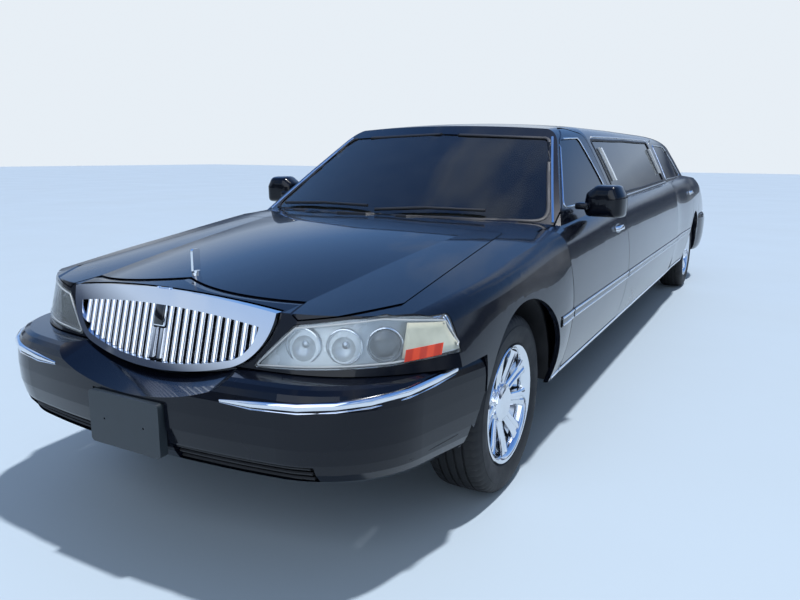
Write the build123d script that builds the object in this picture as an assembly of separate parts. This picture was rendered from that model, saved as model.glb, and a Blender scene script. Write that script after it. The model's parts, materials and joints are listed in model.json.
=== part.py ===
"""Stretch limousine: a four-door saloon cut behind its front doors and lengthened by a plain middle bay.

Millimetres. +X is the car's left, the nose faces -Y, +Z is up, and the origin is on the ground below the
middle of the car. Inside this file a place along the car is a station, measured rearwards from the front
axle; AXLE_Y carries stations into the part's frame when a piece is written.
"""
import os

from build123d import *

# Driving dimensions
BASE_LENGTH = 5471
BASE_WHEELBASE = 2990
STRETCH = 2134
LENGTH = BASE_LENGTH + STRETCH
REAR_AXLE = BASE_WHEELBASE + STRETCH
FRONT_OVERHANG = 1045
NOSE = -FRONT_OVERHANG
TAIL = LENGTH - FRONT_OVERHANG
PLATE_FACE = NOSE - 17
AXLE_Y = -(TAIL + PLATE_FACE) / 2
HALF_TRACK_FRONT = 805
HALF_TRACK_REAR = 822
TYRE_RADIUS = 351
TYRE_WIDTH = 225
HUB_HEIGHT = TYRE_RADIUS
ARCH_RADIUS = 418
HOUSING_RADIUS = 440
ROCKER_HEIGHT = 320
MOULDING_HEIGHT = 612
SKIN = 22
DOOR_WALL = 55
ROOF_WALL = 25
GAP = 7

os.makedirs("parts", exist_ok=True)


def write(name, *solids):
    """Writes one node, moved from stations into the part's frame."""
    kept = [s for piece in solids for s in piece.solids()]
    shape = Compound(children=kept) if len(kept) > 1 else kept[0]
    export_step(shape.moved(Location((0, AXLE_Y, 0))), f"parts/{name}.step")


def mirrored(shape):
    """The right-hand twin of a left-hand piece."""
    return mirror(shape, about=Plane.YZ)


def side_prism(points, x_low, x_high):
    """A prism across the car from an outline of (station, height) points."""
    outline = Polyline(*[(x_low, s, z) for s, z in points], close=True)
    return extrude(make_face(outline), amount=x_high - x_low, dir=(1, 0, 0))


def plan_prism(points, z_low, z_high):
    """An upright prism from an outline of (x, station) points."""
    outline = Polyline(*[(x, s, z_low) for x, s in points], close=True)
    return extrude(make_face(outline), amount=z_high - z_low, dir=(0, 0, 1))


def block(x, s, z):
    """A box between two values on each axis."""
    return Pos((x[0] + x[1]) / 2, (s[0] + s[1]) / 2, (z[0] + z[1]) / 2) * Box(
        x[1] - x[0], s[1] - s[0], z[1] - z[0])


def cross_cylinder(radius, s, z, x_low, x_high):
    """A cylinder across the car."""
    return Pos((x_low + x_high) / 2, s, z) * Rot(0, 90, 0) * Cylinder(radius, x_high - x_low)


# Lower body sections. Columns: station, rocker half-width, widest half-width, shoulder x and height,
# edge x and height (the wing top or belt line), crease x and height, height on the centreline.
FRONT_ROWS = (
    (-1060, 790, 850, 800, 735, 745, 775, 440, 795, 836),
    (-800, 860, 915, 850, 765, 795, 812, 470, 832, 872),
    (-400, 905, 955, 915, 802, 842, 858, 505, 889, 930),
    (0, 922, 975, 938, 842, 868, 903, 540, 940, 978),
    (560, 925, 985, 948, 902, 888, 968, 610, 992, 1008),
)
MIDDLE_ROWS = (
    (560, 925, 985, 948, 902, 888, 968, 610, 992, 1008),
    (1785, 925, 985, 950, 945, 897, 1035, 610, 1060, 1078),
    (3830, 925, 985, 950, 985, 897, 1080, 610, 1105, 1122),
)
REAR_ROWS = (
    (3830, 925, 985, 950, 985, 897, 1080, 610, 1105, 1122),
    (4600, 925, 985, 948, 998, 893, 1095, 610, 1122, 1138),
    (5124, 922, 982, 938, 1000, 880, 1096, 600, 1126, 1143),
    (5700, 905, 965, 915, 985, 850, 1084, 580, 1117, 1135),
    (6250, 880, 940, 885, 955, 812, 1058, 560, 1090, 1108),
    (6600, 850, 905, 850, 930, 780, 1025, 540, 1050, 1064),
)


def lower_section(row, inset):
    """One closed section across the lower body, drawn inside the skin by inset."""
    s, x_low, x_wide, x_sh, z_sh, x_edge, z_edge, x_crease, z_crease, z_top = row
    t = inset
    low = (x_low - t, ROCKER_HEIGHT)
    wide = (x_wide - t, MOULDING_HEIGHT)
    shoulder = (x_sh - t, z_sh - t / 3)
    edge = (x_edge - 0.8 * t, z_edge - 0.8 * t)
    crease = (x_crease - 0.3 * t, z_crease - t)
    crown = (0, z_top - t)

    def at(p, side=1):
        return (side * p[0], s, p[1])

    left = ThreePointArc(at(low), at(wide), at(shoulder))
    right = ThreePointArc(at(shoulder, -1), at(wide, -1), at(low, -1))
    flank = ((crease[0] + edge[0]) / 2, (crease[1] + edge[1]) / 2 + 5)
    return make_face(Wire([
        Line(at(low, -1), at(low)),
        left,
        TangentArc(at(shoulder), at(edge), tangent=left % 1),
        ThreePointArc(at(edge), at(flank), at(crease)),
        ThreePointArc(at(crease), at(crown), at(crease, -1)),
        ThreePointArc(at(crease, -1), at(flank, -1), at(edge, -1)),
        TangentArc(at(shoulder, -1), at(edge, -1), tangent=-(right % 0)),
        right,
    ]))


# Cabin sections. Columns: station, half-width at the sill, cantrail x and height, roof edge x and height,
# roof height on the centreline.
CABIN_SILL = 900
CABIN_FRONT = (
    (250, 855, 605, 1240, 500, 1290, 1306),
    (800, 915, 650, 1322, 552, 1376, 1398),
    (1300, 930, 670, 1374, 582, 1438, 1462),
    (1785, 940, 692, 1398, 600, 1467, 1494),
)
CABIN_MIDDLE = (
    (1785, 940, 692, 1398, 600, 1467, 1494),
    (2600, 940, 694, 1406, 600, 1472, 1500),
    (3830, 940, 694, 1412, 600, 1472, 1498),
)
CABIN_REAR = (
    (3830, 940, 694, 1412, 600, 1472, 1498),
    (4600, 935, 686, 1400, 594, 1456, 1481),
    (5200, 905, 662, 1362, 570, 1414, 1438),
    (5900, 840, 600, 1262, 510, 1312, 1334),
)
SIDE_GLASS_BOW = 9


def cabin_section(row, inset):
    """One closed section across the cabin, drawn inside its skin by inset."""
    s, x_sill, x_cant, z_cant, x_roof, z_roof, z_top = row
    t = inset
    sill = (x_sill - 1.1 * t, CABIN_SILL)
    cant = (x_cant - 1.1 * t, z_cant)
    roof = (x_roof - 0.6 * t, z_roof - t)
    middle = ((sill[0] + cant[0]) / 2 + SIDE_GLASS_BOW, (sill[1] + cant[1]) / 2)

    def at(p, side=1):
        return (side * p[0], s, p[1])

    left = ThreePointArc(at(sill), at(middle), at(cant))
    right = ThreePointArc(at(cant, -1), at(middle, -1), at(sill, -1))
    return make_face(Wire([
        Line(at(sill, -1), at(sill)),
        left,
        TangentArc(at(cant), at(roof), tangent=left % 1),
        ThreePointArc(at(roof), at((0, z_top - t)), at(roof, -1)),
        TangentArc(at(cant, -1), at(roof, -1), tangent=-(right % 0)),
        right,
    ]))


def skin_loft(section, groups, inset):
    """Lofts each group of rows; the groups meet at shut lines."""
    whole = None
    for rows, straight in groups:
        piece = loft([section(row, inset) for row in rows], ruled=straight)
        whole = piece if whole is None else whole + piece
    return whole


def plan_face(z, nose, knees, back):
    """A level outline: bowed nose, round corners through the knees, then straight back. nose may be a tail."""
    start = (0, nose, z)
    bow = TangentArc(start, (*knees[0], z), tangent=(1, 0, 0))
    corner = TangentArc((*knees[0], z), (*knees[1], z), tangent=bow % 1)
    cheek = TangentArc((*knees[1], z), (*knees[2], z), tangent=corner % 1)
    x_side, s_side = knees[2]
    run = Line((x_side, s_side, z), (x_side, back, z))
    close = Line((x_side, back, z), (0, back, z))
    half = [bow, corner, cheek, run, close]
    other = [mirror(e, about=Plane.YZ).edges()[0] for e in half]
    return make_face(Wire([*half, *other]))


def nose_limit(inset, back=7000):
    """Everything behind the raked nose above the bumper."""
    t = inset
    low = plan_face(300, -1010 + t, ((500 - t, -975 + t), (800 - t, -830 + t), (1100 - t, -300)), back)
    high = plan_face(1250, -748.75 + t, ((500 - t, -713.75 + t), (788 - t, -556.9 + t), (1100 - t, -62.5)), back)
    return loft([low, high], ruled=True)


def tail_limit(inset, back=-1300):
    """Everything ahead of the tail above the bumper."""
    t = inset
    low = plan_face(300, 6500 - t, ((560 - t, 6475 - t), (860 - t, 6340 - t), (1100 - t, 5800)), back)
    high = plan_face(1250, 6440 - t, ((560 - t, 6415 - t), (840 - t, 6270 - t), (1100 - t, 5600)), back)
    return loft([low, high], ruled=True)


SCREEN_RISE = 1.684
SCREEN_SIDE_RISE = 1.547
SCREEN_BASE = (995, 515, 797)
BACKLIGHT_RISE = -1.55
BACKLIGHT_BASE = (1100, 5600, 5410)
BOW_X = 950


def bowed_limit(base, rise, side_rise, shift, far):
    """Everything on the far side of a raked, bowed glass surface."""
    z_base, s_middle, s_side = base
    faces = []
    for z in (CABIN_SILL - 40, 1600):
        middle = s_middle + (z - z_base) * rise + shift
        side = s_side + (z - z_base) * side_rise + shift
        arc = ThreePointArc((-BOW_X, side, z), (0, middle, z), (BOW_X, side, z))
        faces.append(make_face(Wire([
            arc,
            Line((BOW_X, side, z), (BOW_X, far, z)),
            Line((BOW_X, far, z), (-BOW_X, far, z)),
            Line((-BOW_X, far, z), (-BOW_X, side, z)),
        ])))
    return loft(faces, ruled=True)


SHIFT_PER_MM = 1.96


def screen_limit(depth):
    return bowed_limit(SCREEN_BASE, SCREEN_RISE, SCREEN_SIDE_RISE, depth * SHIFT_PER_MM, 7000)


def backlight_limit(depth):
    return bowed_limit(BACKLIGHT_BASE, BACKLIGHT_RISE, BACKLIGHT_RISE, -depth * SHIFT_PER_MM, 0)


def lower(inset):
    groups = ((FRONT_ROWS, False), (MIDDLE_ROWS, True), (REAR_ROWS, False))
    body = skin_loft(lower_section, groups, inset)
    ends = (body & nose_limit(inset)) & tail_limit(inset)
    return ends


def cabin(inset):
    groups = ((CABIN_FRONT, False), (CABIN_MIDDLE, True), (CABIN_REAR, False))
    body = skin_loft(cabin_section, groups, inset)
    return body & screen_limit(inset) & backlight_limit(inset)


def arch(station, radius, x_low=440, x_high=1150):
    """The wheel arch cut of both sides at one axle."""
    one = cross_cylinder(radius, station, HUB_HEIGHT, x_low, x_high)
    return one + mirrored(one)


def grown(points, amount):
    """The corner list moved outwards by amount all round, each round growing or shrinking with it."""
    flat = [(c[0], c[1]) for c in points]
    count = len(flat)
    area = sum(flat[i - 1][0] * flat[i][1] - flat[i][0] * flat[i - 1][1] for i in range(count))
    turn = 1 if area > 0 else -1

    def side_line(a, b):
        run, rise = b[0] - a[0], b[1] - a[1]
        size = (run * run + rise * rise) ** 0.5
        across = (turn * rise / size, -turn * run / size)
        return (a[0] + across[0] * amount, a[1] + across[1] * amount), (run / size, rise / size)

    moved = []
    for i in range(count):
        (px, py), (ux, uy) = side_line(flat[i - 1], flat[i])
        (qx, qy), (vx, vy) = side_line(flat[i], flat[(i + 1) % count])
        cross = ux * vy - uy * vx
        if abs(cross) < 1e-6:
            spot = (qx, qy)
        else:
            reach = ((qx - px) * vy - (qy - py) * vx) / cross
            spot = (px + ux * reach, py + uy * reach)
        bulges = cross * turn > 0
        more = [max(r + amount, 1) if bulges else max(r - amount, 1) for r in points[i][2:]]
        moved.append((*spot, *more))
    return moved


def smooth_outline(points, plane_at, grow=0):
    """A closed face through corner points; a corner with a third number is rounded by that radius."""
    corners = grown(points, grow) if grow else points
    face = make_face(Polyline(*[plane_at(c[0], c[1]) for c in corners], close=True))
    for corner in [c for c in corners if len(c) > 2]:
        spot = Vector(*plane_at(corner[0], corner[1]))
        near = min(face.vertices(), key=lambda v: (Vector(*v) - spot).length)
        face = fillet([near], corner[2])
    return face


def side_cut(points, x_low, x_high, grow=0):
    """A prism straight across the left side from (station, height[, round]) corners."""
    face = smooth_outline(points, lambda s, z: (x_low, s, z), grow)
    return extrude(face, amount=x_high - x_low, dir=(1, 0, 0))


def front_cut(points, s_low, s_high, grow=0):
    """A prism along the car from (x, height[, round]) corners."""
    face = smooth_outline(points, lambda x, z: (x, s_low, z), grow)
    return extrude(face, amount=s_high - s_low, dir=(0, 1, 0))


def top_cut(points, z_low, z_high, grow=0):
    """An upright prism from (x, station[, round]) corners."""
    face = smooth_outline(points, lambda x, s: (x, s, z_low), grow)
    return extrude(face, amount=z_high - z_low, dir=(0, 0, 1))


# A door's shut faces lean with its swing: further in, the outline moves forward by a share of the depth.
FRONT_DOOR_LEAN = 0.31
REAR_DOOR_LEAN = 0.42
DOOR_PLANE_X = 1060
DOOR_DEPTH_X = 575
COWL_SIDE_X = 832


def door_cut(points, lean, grow=0):
    """The leaning prism that frees a left door, from (x, station, height[, round]) corners on the skin."""
    flat = [(s + lean * (DOOR_PLANE_X - x), z, *more) for x, s, z, *more in points]
    face = smooth_outline(flat, lambda s, z: (DOOR_PLANE_X, s, z), grow)
    depth = DOOR_PLANE_X - DOOR_DEPTH_X
    prism = extrude(face, amount=depth * (1 + lean ** 2) ** 0.5, dir=(-1, -lean, 0))
    return prism - block((400, COWL_SIDE_X - grow), (400, 815 - grow), (300, 1062 - grow))


FRONT_DOOR_OUTLINE = (
    (985, 562, 350, 40), (985, 562, 900), (900, 566, 1000), (845, 812, 1040), (658, 1296, 1382, 60),
    (610, 1500, 1462, 260), (650, 1752, 1424, 50), (870, 1778, 1040), (985, 1784, 900), (985, 1784, 350, 40),
)
REAR_DOOR_OUTLINE = (
    (985, 3832, 350, 40), (985, 3832, 900), (870, 3836, 1075), (655, 3860, 1425, 50), (610, 4250, 1462, 200),
    (630, 4650, 1438, 80), (737, 4885, 1290), (828, 4990, 1090), (930, 5004, 960), (985, 4985, 850, 60),
    (985, 4890, 750), (985, 4740, 600), (985, 4668, 470), (985, 4655, 350, 30),
)
FRONT_WINDOW = ((868, 1056, 20), (1325, 1384, 30), (1622, 1396, 30), (1708, 1072, 18))
REAR_WINDOW_SIDE = ((3905, 1112, 18), (3960, 1392, 30), (4600, 1385, 40), (4790, 1265, 60), (4945, 1122, 18))
STRETCH_WINDOW = ((1868, 1072, 22), (1852, 1394, 30), (3700, 1408, 30), (3760, 1106, 22))
SCREEN_WINDOW = ((-805, 1000, 40), (-618, 1392, 45), (0, 1416), (618, 1392, 45), (805, 1000, 40), (0, 1006))
BACK_WINDOW = ((-770, 1128, 50), (-560, 1392, 60), (0, 1404), (560, 1392, 60), (770, 1128, 50), (0, 1140))
HOOD_PLAN = ((-766, -1100), (-766, -780), (-712, 392, 30), (-400, 330), (0, 300), (400, 330), (712, 392, 30),
             (766, -780), (766, -1100))
HOOD_FRONT = ((-900, 1200), (-900, 840), (-752, 840), (-520, 806), (-476, 838), (0, 876), (476, 838), (520, 806),
              (752, 840), (900, 840), (900, 1200))
LAMP_FRONT = ((388, 660, 6), (512, 794, 14), (752, 829, 30), (905, 812, 30), (960, 706, 12), (790, 682))
LID_TOP = ((-690, 5668, 40), (690, 5668, 40), (690, 6700), (-690, 6700))
LID_FACE = ((-505, 735, 30), (505, 735, 30), (505, 1250), (-505, 1250))
TAIL_LAMP = ((520, 735, 25), (520, 925, 25), (1000, 925), (1000, 735))


def shield(top, corner, cheek_mid, cheek_low, keel, s_low, s_high):
    """A prism along the car with a bowed top and sides sweeping round into a shallow keel."""
    def at(p, side=1):
        return (side * p[0], s_low, p[1])

    side = ThreePointArc(at(corner), at(cheek_mid), at(cheek_low))
    bottom = ThreePointArc(at(cheek_low), at((0, keel)), at(cheek_low, -1))
    far_side = ThreePointArc(at(cheek_low, -1), at(cheek_mid, -1), at(corner, -1))
    crest = ThreePointArc(at(corner, -1), at((0, top)), at(corner))
    return extrude(make_face(Wire([side, bottom, far_side, crest])), amount=s_high - s_low, dir=(0, 1, 0))


def grille_outline(grow, s_low, s_high):
    """The outer edge of the grille surround, let out by an amount."""
    return shield(862 + grow, (457 + grow, 828 + grow), (426 + grow, 735),
                  (322 + 0.8 * grow, 654 - 0.7 * grow), 610 - grow, s_low, s_high)


def grille_window(grow, s_low, s_high):
    """The opening that holds the bars: deep under the brow, narrow round the keel."""
    return shield(812 + grow, (403 + grow, 783 + grow), (386 + grow, 728),
                  (302 + 0.8 * grow, 671 - 0.7 * grow), 633 - grow, s_low, s_high)


def nose_station(x, z):
    """Where the raked nose stands at a place across and a height."""
    low, high = -1010, -790
    return low + (high - low) * (z - 300) / 800 + 35 * (x / 500) ** 2


def bumper_solid(rows, plan, back):
    """A bumper lofted upwards. Rows: height, inset at the end, inset at the side."""
    faces = []
    for z, t_end, t_side in rows:
        nose, knees = plan
        sign = 1 if nose < back else -1
        knees = [(x - t_side * (0.6 + 0.4 * x / 980), s + sign * t_end) for x, s in knees]
        faces.append(plan_face(z, nose + sign * t_end, knees, back))
    return loft(faces, ruled=True)


FRONT_BUMPER_PLAN = (-1045, ((560, -1000), (880, -700), (962, -350)))
REAR_BUMPER_PLAN = (6560, ((560, 6520), (880, 6300), (965, 5600)))
FRONT_BUMPER_ROWS = ((335, 75, 40), (356, 44, 26), (385, 25, 17), (420, 12, 11), (470, 2, 5), (530, 0, 2),
                     (585, 4, 0), (612, 10, 2), (630, 19, 6), (643, 32, 11), (650, 50, 19))
REAR_BUMPER_ROWS = ((330, 60, 40), (352, 34, 26), (385, 19, 17), (425, 8, 10), (480, 0, 4), (560, 0, 1),
                    (630, 4, 0), (662, 11, 3), (683, 22, 8), (697, 34, 14), (705, 48, 21))


LOWER_OUT = lower(0)
LOWER_SKIN_IN = lower(SKIN)
LOWER_WALL_IN = lower(DOOR_WALL)
CABIN_OUT = cabin(0)
CABIN_IN = cabin(ROOF_WALL)
GLASS_LAYER = cabin(5) - cabin(10)


def front_and_nose():
    """Wings with the nose panel, and the hood that lies between them."""
    skin = (LOWER_OUT - LOWER_SKIN_IN) & block((-1100, 1100), (-1200, 559.7), (300, 1200))
    skin -= block((-1100, 1100), (-1200, -380), (300, 654))
    hood_room = top_cut(HOOD_PLAN, 700, 1200) & front_cut(HOOD_FRONT, -1200, 700)
    hood_fill = top_cut(HOOD_PLAN, 690, 1190, grow=-5) & front_cut(HOOD_FRONT, -1200, 690, grow=-5)
    lamp = front_cut(LAMP_FRONT, -1200, -540, grow=2)
    wings = skin - hood_room - lamp - mirrored(lamp) - grille_outline(3, -1200, 700) - arch(0, ARCH_RADIUS)
    wings -= block((-830, 830), (500, 600), (890, 1200))
    return wings, skin & hood_fill


def side_walls():
    """The whole passenger shell with its roof, before doors, windows and lids are cut."""
    walls = (LOWER_OUT + CABIN_OUT) - LOWER_WALL_IN - (CABIN_IN & block((-1000, 1000), (0, 5490), (800, 1600)))
    walls -= LOWER_SKIN_IN & block((-1100, 1100), (5490, 6700), (200, 1300))
    cowl = block((-820, 820), (500.3, 700), (895, 1300))
    return walls & (block((-1100, 1100), (563, 6700), (200, 1600)) + cowl)


def body_and_doors():
    """The shell with its openings, and the left-hand doors cut from the same walls."""
    walls = side_walls()
    front_window = side_cut(FRONT_WINDOW, 500, 1100)
    rear_window = side_cut(REAR_WINDOW_SIDE, 500, 1100)
    door_front = (walls & door_cut(FRONT_DOOR_OUTLINE, FRONT_DOOR_LEAN, -GAP)) - front_window
    door_rear = (walls & door_cut(REAR_DOOR_OUTLINE, REAR_DOOR_LEAN, -GAP)) - rear_window
    rooms = [door_cut(FRONT_DOOR_OUTLINE, FRONT_DOOR_LEAN), door_cut(REAR_DOOR_OUTLINE, REAR_DOOR_LEAN),
             side_cut(STRETCH_WINDOW, 500, 1100)]
    shell = walls
    for room in rooms:
        shell = shell - room - mirrored(room)
    lid_room = top_cut(LID_TOP, 930, 1250) + front_cut(LID_FACE, 6150, 6700)
    tail_room = front_cut(TAIL_LAMP, 6130, 6700, grow=2)
    for room in (front_cut(SCREEN_WINDOW, 300, 1330), front_cut(BACK_WINDOW, 4900, 5700), lid_room,
                 tail_room, mirrored(tail_room), arch(REAR_AXLE, ARCH_RADIUS),
                 block((-1100, 1100), (5480, 6700), (300, 708))):
        shell = shell - room
    lid_fill = top_cut(LID_TOP, 930, 1250, grow=-6) + front_cut(LID_FACE, 6150, 6700, grow=-6)
    lid = (LOWER_OUT - LOWER_SKIN_IN) & lid_fill
    return shell, door_front, door_rear, lid


PLATE_PITCH = 177.8
PLATE_HOLE = 3.5
FRONT_PLATE_Z = 458
REAR_PLATE_Z = 862


def plate_holes(s_low, s_high, z):
    """The two holes of a number plate fixing, along the car."""
    one = Pos(PLATE_PITCH / 2, (s_low + s_high) / 2, z) * Rot(90, 0, 0) * Cylinder(PLATE_HOLE, s_high - s_low)
    return one + mirrored(one)


BAR_COUNT = 11
BAR_PITCH = 33.5
BAR_WIDTH = 22


def grille():
    """The bright surround with its deep brow, the upright bars, and the dark panel behind them."""
    outer = grille_outline(0, -1200, 700) & nose_limit(-16)
    surround = outer - nose_limit(34) - grille_window(0, -1200, 700)
    room = grille_window(-1, -1200, 700)
    bars = []
    for index in range(-BAR_COUNT, BAR_COUNT + 1):
        if index == 0:
            continue
        x = index * BAR_PITCH + (8 if index > 0 else -8)
        foot = (x, nose_station(x, 600) + 12, 600)
        rise = Vector(0, nose_station(x, 860) - nose_station(x, 600), 260)
        turn = Plane(origin=foot, x_dir=(1, 0, 0), z_dir=rise.normalized())
        profile = Rectangle(BAR_WIDTH, 16) + Pos(0, -8) * Circle(BAR_WIDTH / 2)
        bars.append(extrude(turn * profile, amount=rise.length) & room)
    backing = (grille_outline(-2, -1200, 700) & nose_limit(36)) - nose_limit(42)
    return surround, [bar for bar in bars if bar.volume > 10], backing


LAMP_CUPS = ((545, -862, 733), (668, -815, 735), (768, -735, 737))


def headlamps():
    """Clear lenses flush with the nose, and behind each a bright housing with three round cups."""
    front = front_cut(LAMP_FRONT, -1200, -545)
    lens = (LOWER_OUT - lower(5)) & front
    depth = LOWER_SKIN_IN & front_cut(LAMP_FRONT, -1200, -545, grow=-3)
    housing = depth & block((350, 1000), (-1200, -560), (600, 900))
    for x, s, z in LAMP_CUPS:
        housing -= Pos(x, s, z) * Sphere(56)
    return lens, housing


def bumper(rows, plan, back, axle, wall=34, depth=120):
    """A hollow bumper open below, cut clear of the wheels."""
    outer = bumper_solid(rows, plan, back)
    inner_rows = [(z, a + wall, b + wall) for z, a, b in rows if z < rows[-1][0] - wall]
    inner_rows[0] = (rows[0][0] - 10, *inner_rows[0][1:])
    inner = bumper_solid(inner_rows, plan, back)
    core = bumper_solid(((200, depth, 75), (900, depth, 75)), plan, back)
    return outer - inner - core - arch(axle, ARCH_RADIUS + 6)


SCOOP_START = -900
SCOOP_FALL = 0.32


def scoop(grow):
    """The room that falls forward from the grille's lower edge to the front of the bumper."""
    face = grille_outline(grow, -1200, SCOOP_START).faces().sort_by(Axis.Y)[-1]
    return extrude(face, amount=320, dir=(0, -1, -SCOOP_FALL))


def front_bumper():
    """The front bumper with its scoop under the grille, lower intake and number-plate seat."""
    body = bumper(FRONT_BUMPER_ROWS, FRONT_BUMPER_PLAN, -150, 0, depth=185)
    body &= block((-1100, 1100), (-1200, -386), (200, 800))
    trough = bumper_solid(FRONT_BUMPER_ROWS, FRONT_BUMPER_PLAN, -150) & scoop(40)
    trough &= block((-600, 600), (-1200, SCOOP_START + 18), (450, 800))
    body = body + trough - scoop(10) - grille_outline(4, -1200, -700)
    for side in (1, -1):
        low, high = sorted((side * 172, side * 655))
        body -= block((low, high), (-1100, -880), (356, 414))
    body -= block((-162, 162), (-1100, NOSE + 14), (368, 549))
    return body - arch(0, HOUSING_RADIUS + 4, 468, 928)


def rear_bumper():
    """The rear bumper, cut clear of the boot floor's edge."""
    body = bumper(REAR_BUMPER_ROWS, REAR_BUMPER_PLAN, 5380, REAR_AXLE)
    body &= block((-1100, 1100), (5486, 6700), (200, 800))
    return body - block((-784, 784), (5486, 6335), (386, 418))


def number_plate_block():
    plate = block((-158, 158), (PLATE_FACE, NOSE + 13.5), (370, 547))
    plate = fillet(plate.edges().filter_by(Axis.Y), 14)
    return plate - plate_holes(PLATE_FACE - 5, NOSE + 20, FRONT_PLATE_Z)


def tail_lamps():
    front = front_cut(TAIL_LAMP, 6130, 6700)
    return (LOWER_OUT - LOWER_WALL_IN) & front


def glazing():
    """Glass for every opening, set in from the skin; the door panes are the left-hand ones."""
    screen = GLASS_LAYER & front_cut(SCREEN_WINDOW, 300, 1330, grow=-0.6)
    back = GLASS_LAYER & front_cut(BACK_WINDOW, 4900, 5700, grow=-0.6)
    panes = [GLASS_LAYER & side_cut(window, 500, 1100, grow=-0.6)
             for window in (STRETCH_WINDOW, FRONT_WINDOW, REAR_WINDOW_SIDE)]
    return screen, back, *panes


def wheel_housings():
    """Inner wheel arches: half rings closed by an inner wall with a hole for the axle."""
    pieces = []
    for axle, x_wall, x_out, wall in ((0, 474, 925, SKIN), (REAR_AXLE, 604, 905, DOOR_WALL)):
        ring = cross_cylinder(HOUSING_RADIUS, axle, HUB_HEIGHT, x_wall, x_out)
        ring -= cross_cylinder(HOUSING_RADIUS - 15, axle, HUB_HEIGHT, x_wall + 8, x_out + 10)
        ring -= cross_cylinder(205, axle, HUB_HEIGHT, x_wall - 10, x_wall + 20)
        ring &= block((0, 1100), (axle - 600, axle + 600), (HUB_HEIGHT - 20, 900))
        ring -= block((0, 1100), (axle - 150, axle + 150), (0, HUB_HEIGHT + 20))
        ring &= lower(wall + 2)
        pieces += [ring, mirrored(ring)]
    return pieces


def floor_pan(frame):
    """Floor, firewall, the step over the rear axle, seat bulkhead and boot floor in one pressing."""
    line = ((505, 925), (505, 330), (4620, 330), (4740, 530), (5560, 530), (5640, 392), (6330, 392),
            (6330, 412), (5652, 412), (5572, 550), (5420, 550), (5420, 1000), (5402, 1000), (5402, 550),
            (4728, 550), (4608, 350), (523, 350), (523, 925))
    pan = side_prism(line, -780, 780)
    sills = block((-862, 862), (575, 4600), (330, 350))
    pan = pan + sills
    wells = cross_cylinder(445, REAR_AXLE, HUB_HEIGHT, 596, 900)
    pan = pan - wells - mirrored(wells) - block((590, 900), (5390, 5430), (552, 1100))
    return pan - block((-900, -590), (5390, 5430), (552, 1100)) - frame


def chassis():
    """Two long rails that kick up over both axles, joined by cross members."""
    line = ((-870, 330), (-520, 330), (-470, 420), (430, 420), (560, 215), (4700, 215), (4830, 415), (5545, 415),
            (5625, 290), (6330, 290), (6330, 378), (5632, 378), (5545, 510), (4755, 510), (4640, 318), (620, 318),
            (490, 500), (-500, 500), (-560, 420), (-870, 420))
    left = side_prism(line, 400, 468)
    frame = left + mirrored(left)
    for s, z_low, z_high in ((-840, 341, 409), (640, 232, 318), (1900, 232, 318), (2900, 232, 318),
                             (3900, 232, 318), (6300, 301, 369)):
        frame += block((-420, 420), (s - 30, s + 30), (z_low, z_high))
    for x in (-EXHAUST_X, EXHAUST_X):
        frame -= rod((x, 400, 268), (x, 6500, 262), 34)
    return frame


EXHAUST_X = 250


def front_suspension():
    """Lower and upper arms of both sides on a subframe beam."""
    beam = block((-390, 390), (-70, 70), (225, 300))
    arm = plan_prism(((380, -150), (640, -34), (668, -34), (668, 34), (640, 34), (380, 150)), 236, 264)
    upper = plan_prism(((398, -90), (590, -28), (590, 28), (398, 90)), 512, 534)
    return beam + arm + mirrored(arm), upper, mirrored(upper)


def knuckle():
    """Left upright with brake disc, caliper and spindle, made to turn about the king pin."""
    post = block((700, 738), (-34, 34), (252, 468))
    post = fillet(post.edges().filter_by(Axis.Z), 12)
    disc = cross_cylinder(150, 0, HUB_HEIGHT, 752, 774)
    spindle = cross_cylinder(30, 0, HUB_HEIGHT, 730, 842)
    caliper = block((742, 784), (96, 158), (HUB_HEIGHT - 55, HUB_HEIGHT + 55))
    arm = block((728, 760), (60, 120), (HUB_HEIGHT - 25, HUB_HEIGHT + 25)) + block(
        (708, 760), (0, 80), (HUB_HEIGHT - 25, HUB_HEIGHT + 25))
    return post + disc + spindle + (caliper + arm)


def rear_axle():
    """Axle tube with differential, discs and spindles, turned in one piece about the axle line."""
    half = ((0, 128), (70, 106), (112, 40), (769, 40), (769, 150), (791, 150), (791, 30), (859, 30), (859, 0))
    outline = [(-x, y) for x, y in reversed(half)] + list(half[1:])
    spun = revolve(make_face(Polyline(*[(u, v, 0) for u, v in outline], close=True)), Axis.X)
    return Pos(0, REAR_AXLE, HUB_HEIGHT) * spun


SPOKES = 9
SPOKE_WIDTH = 52


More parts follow.
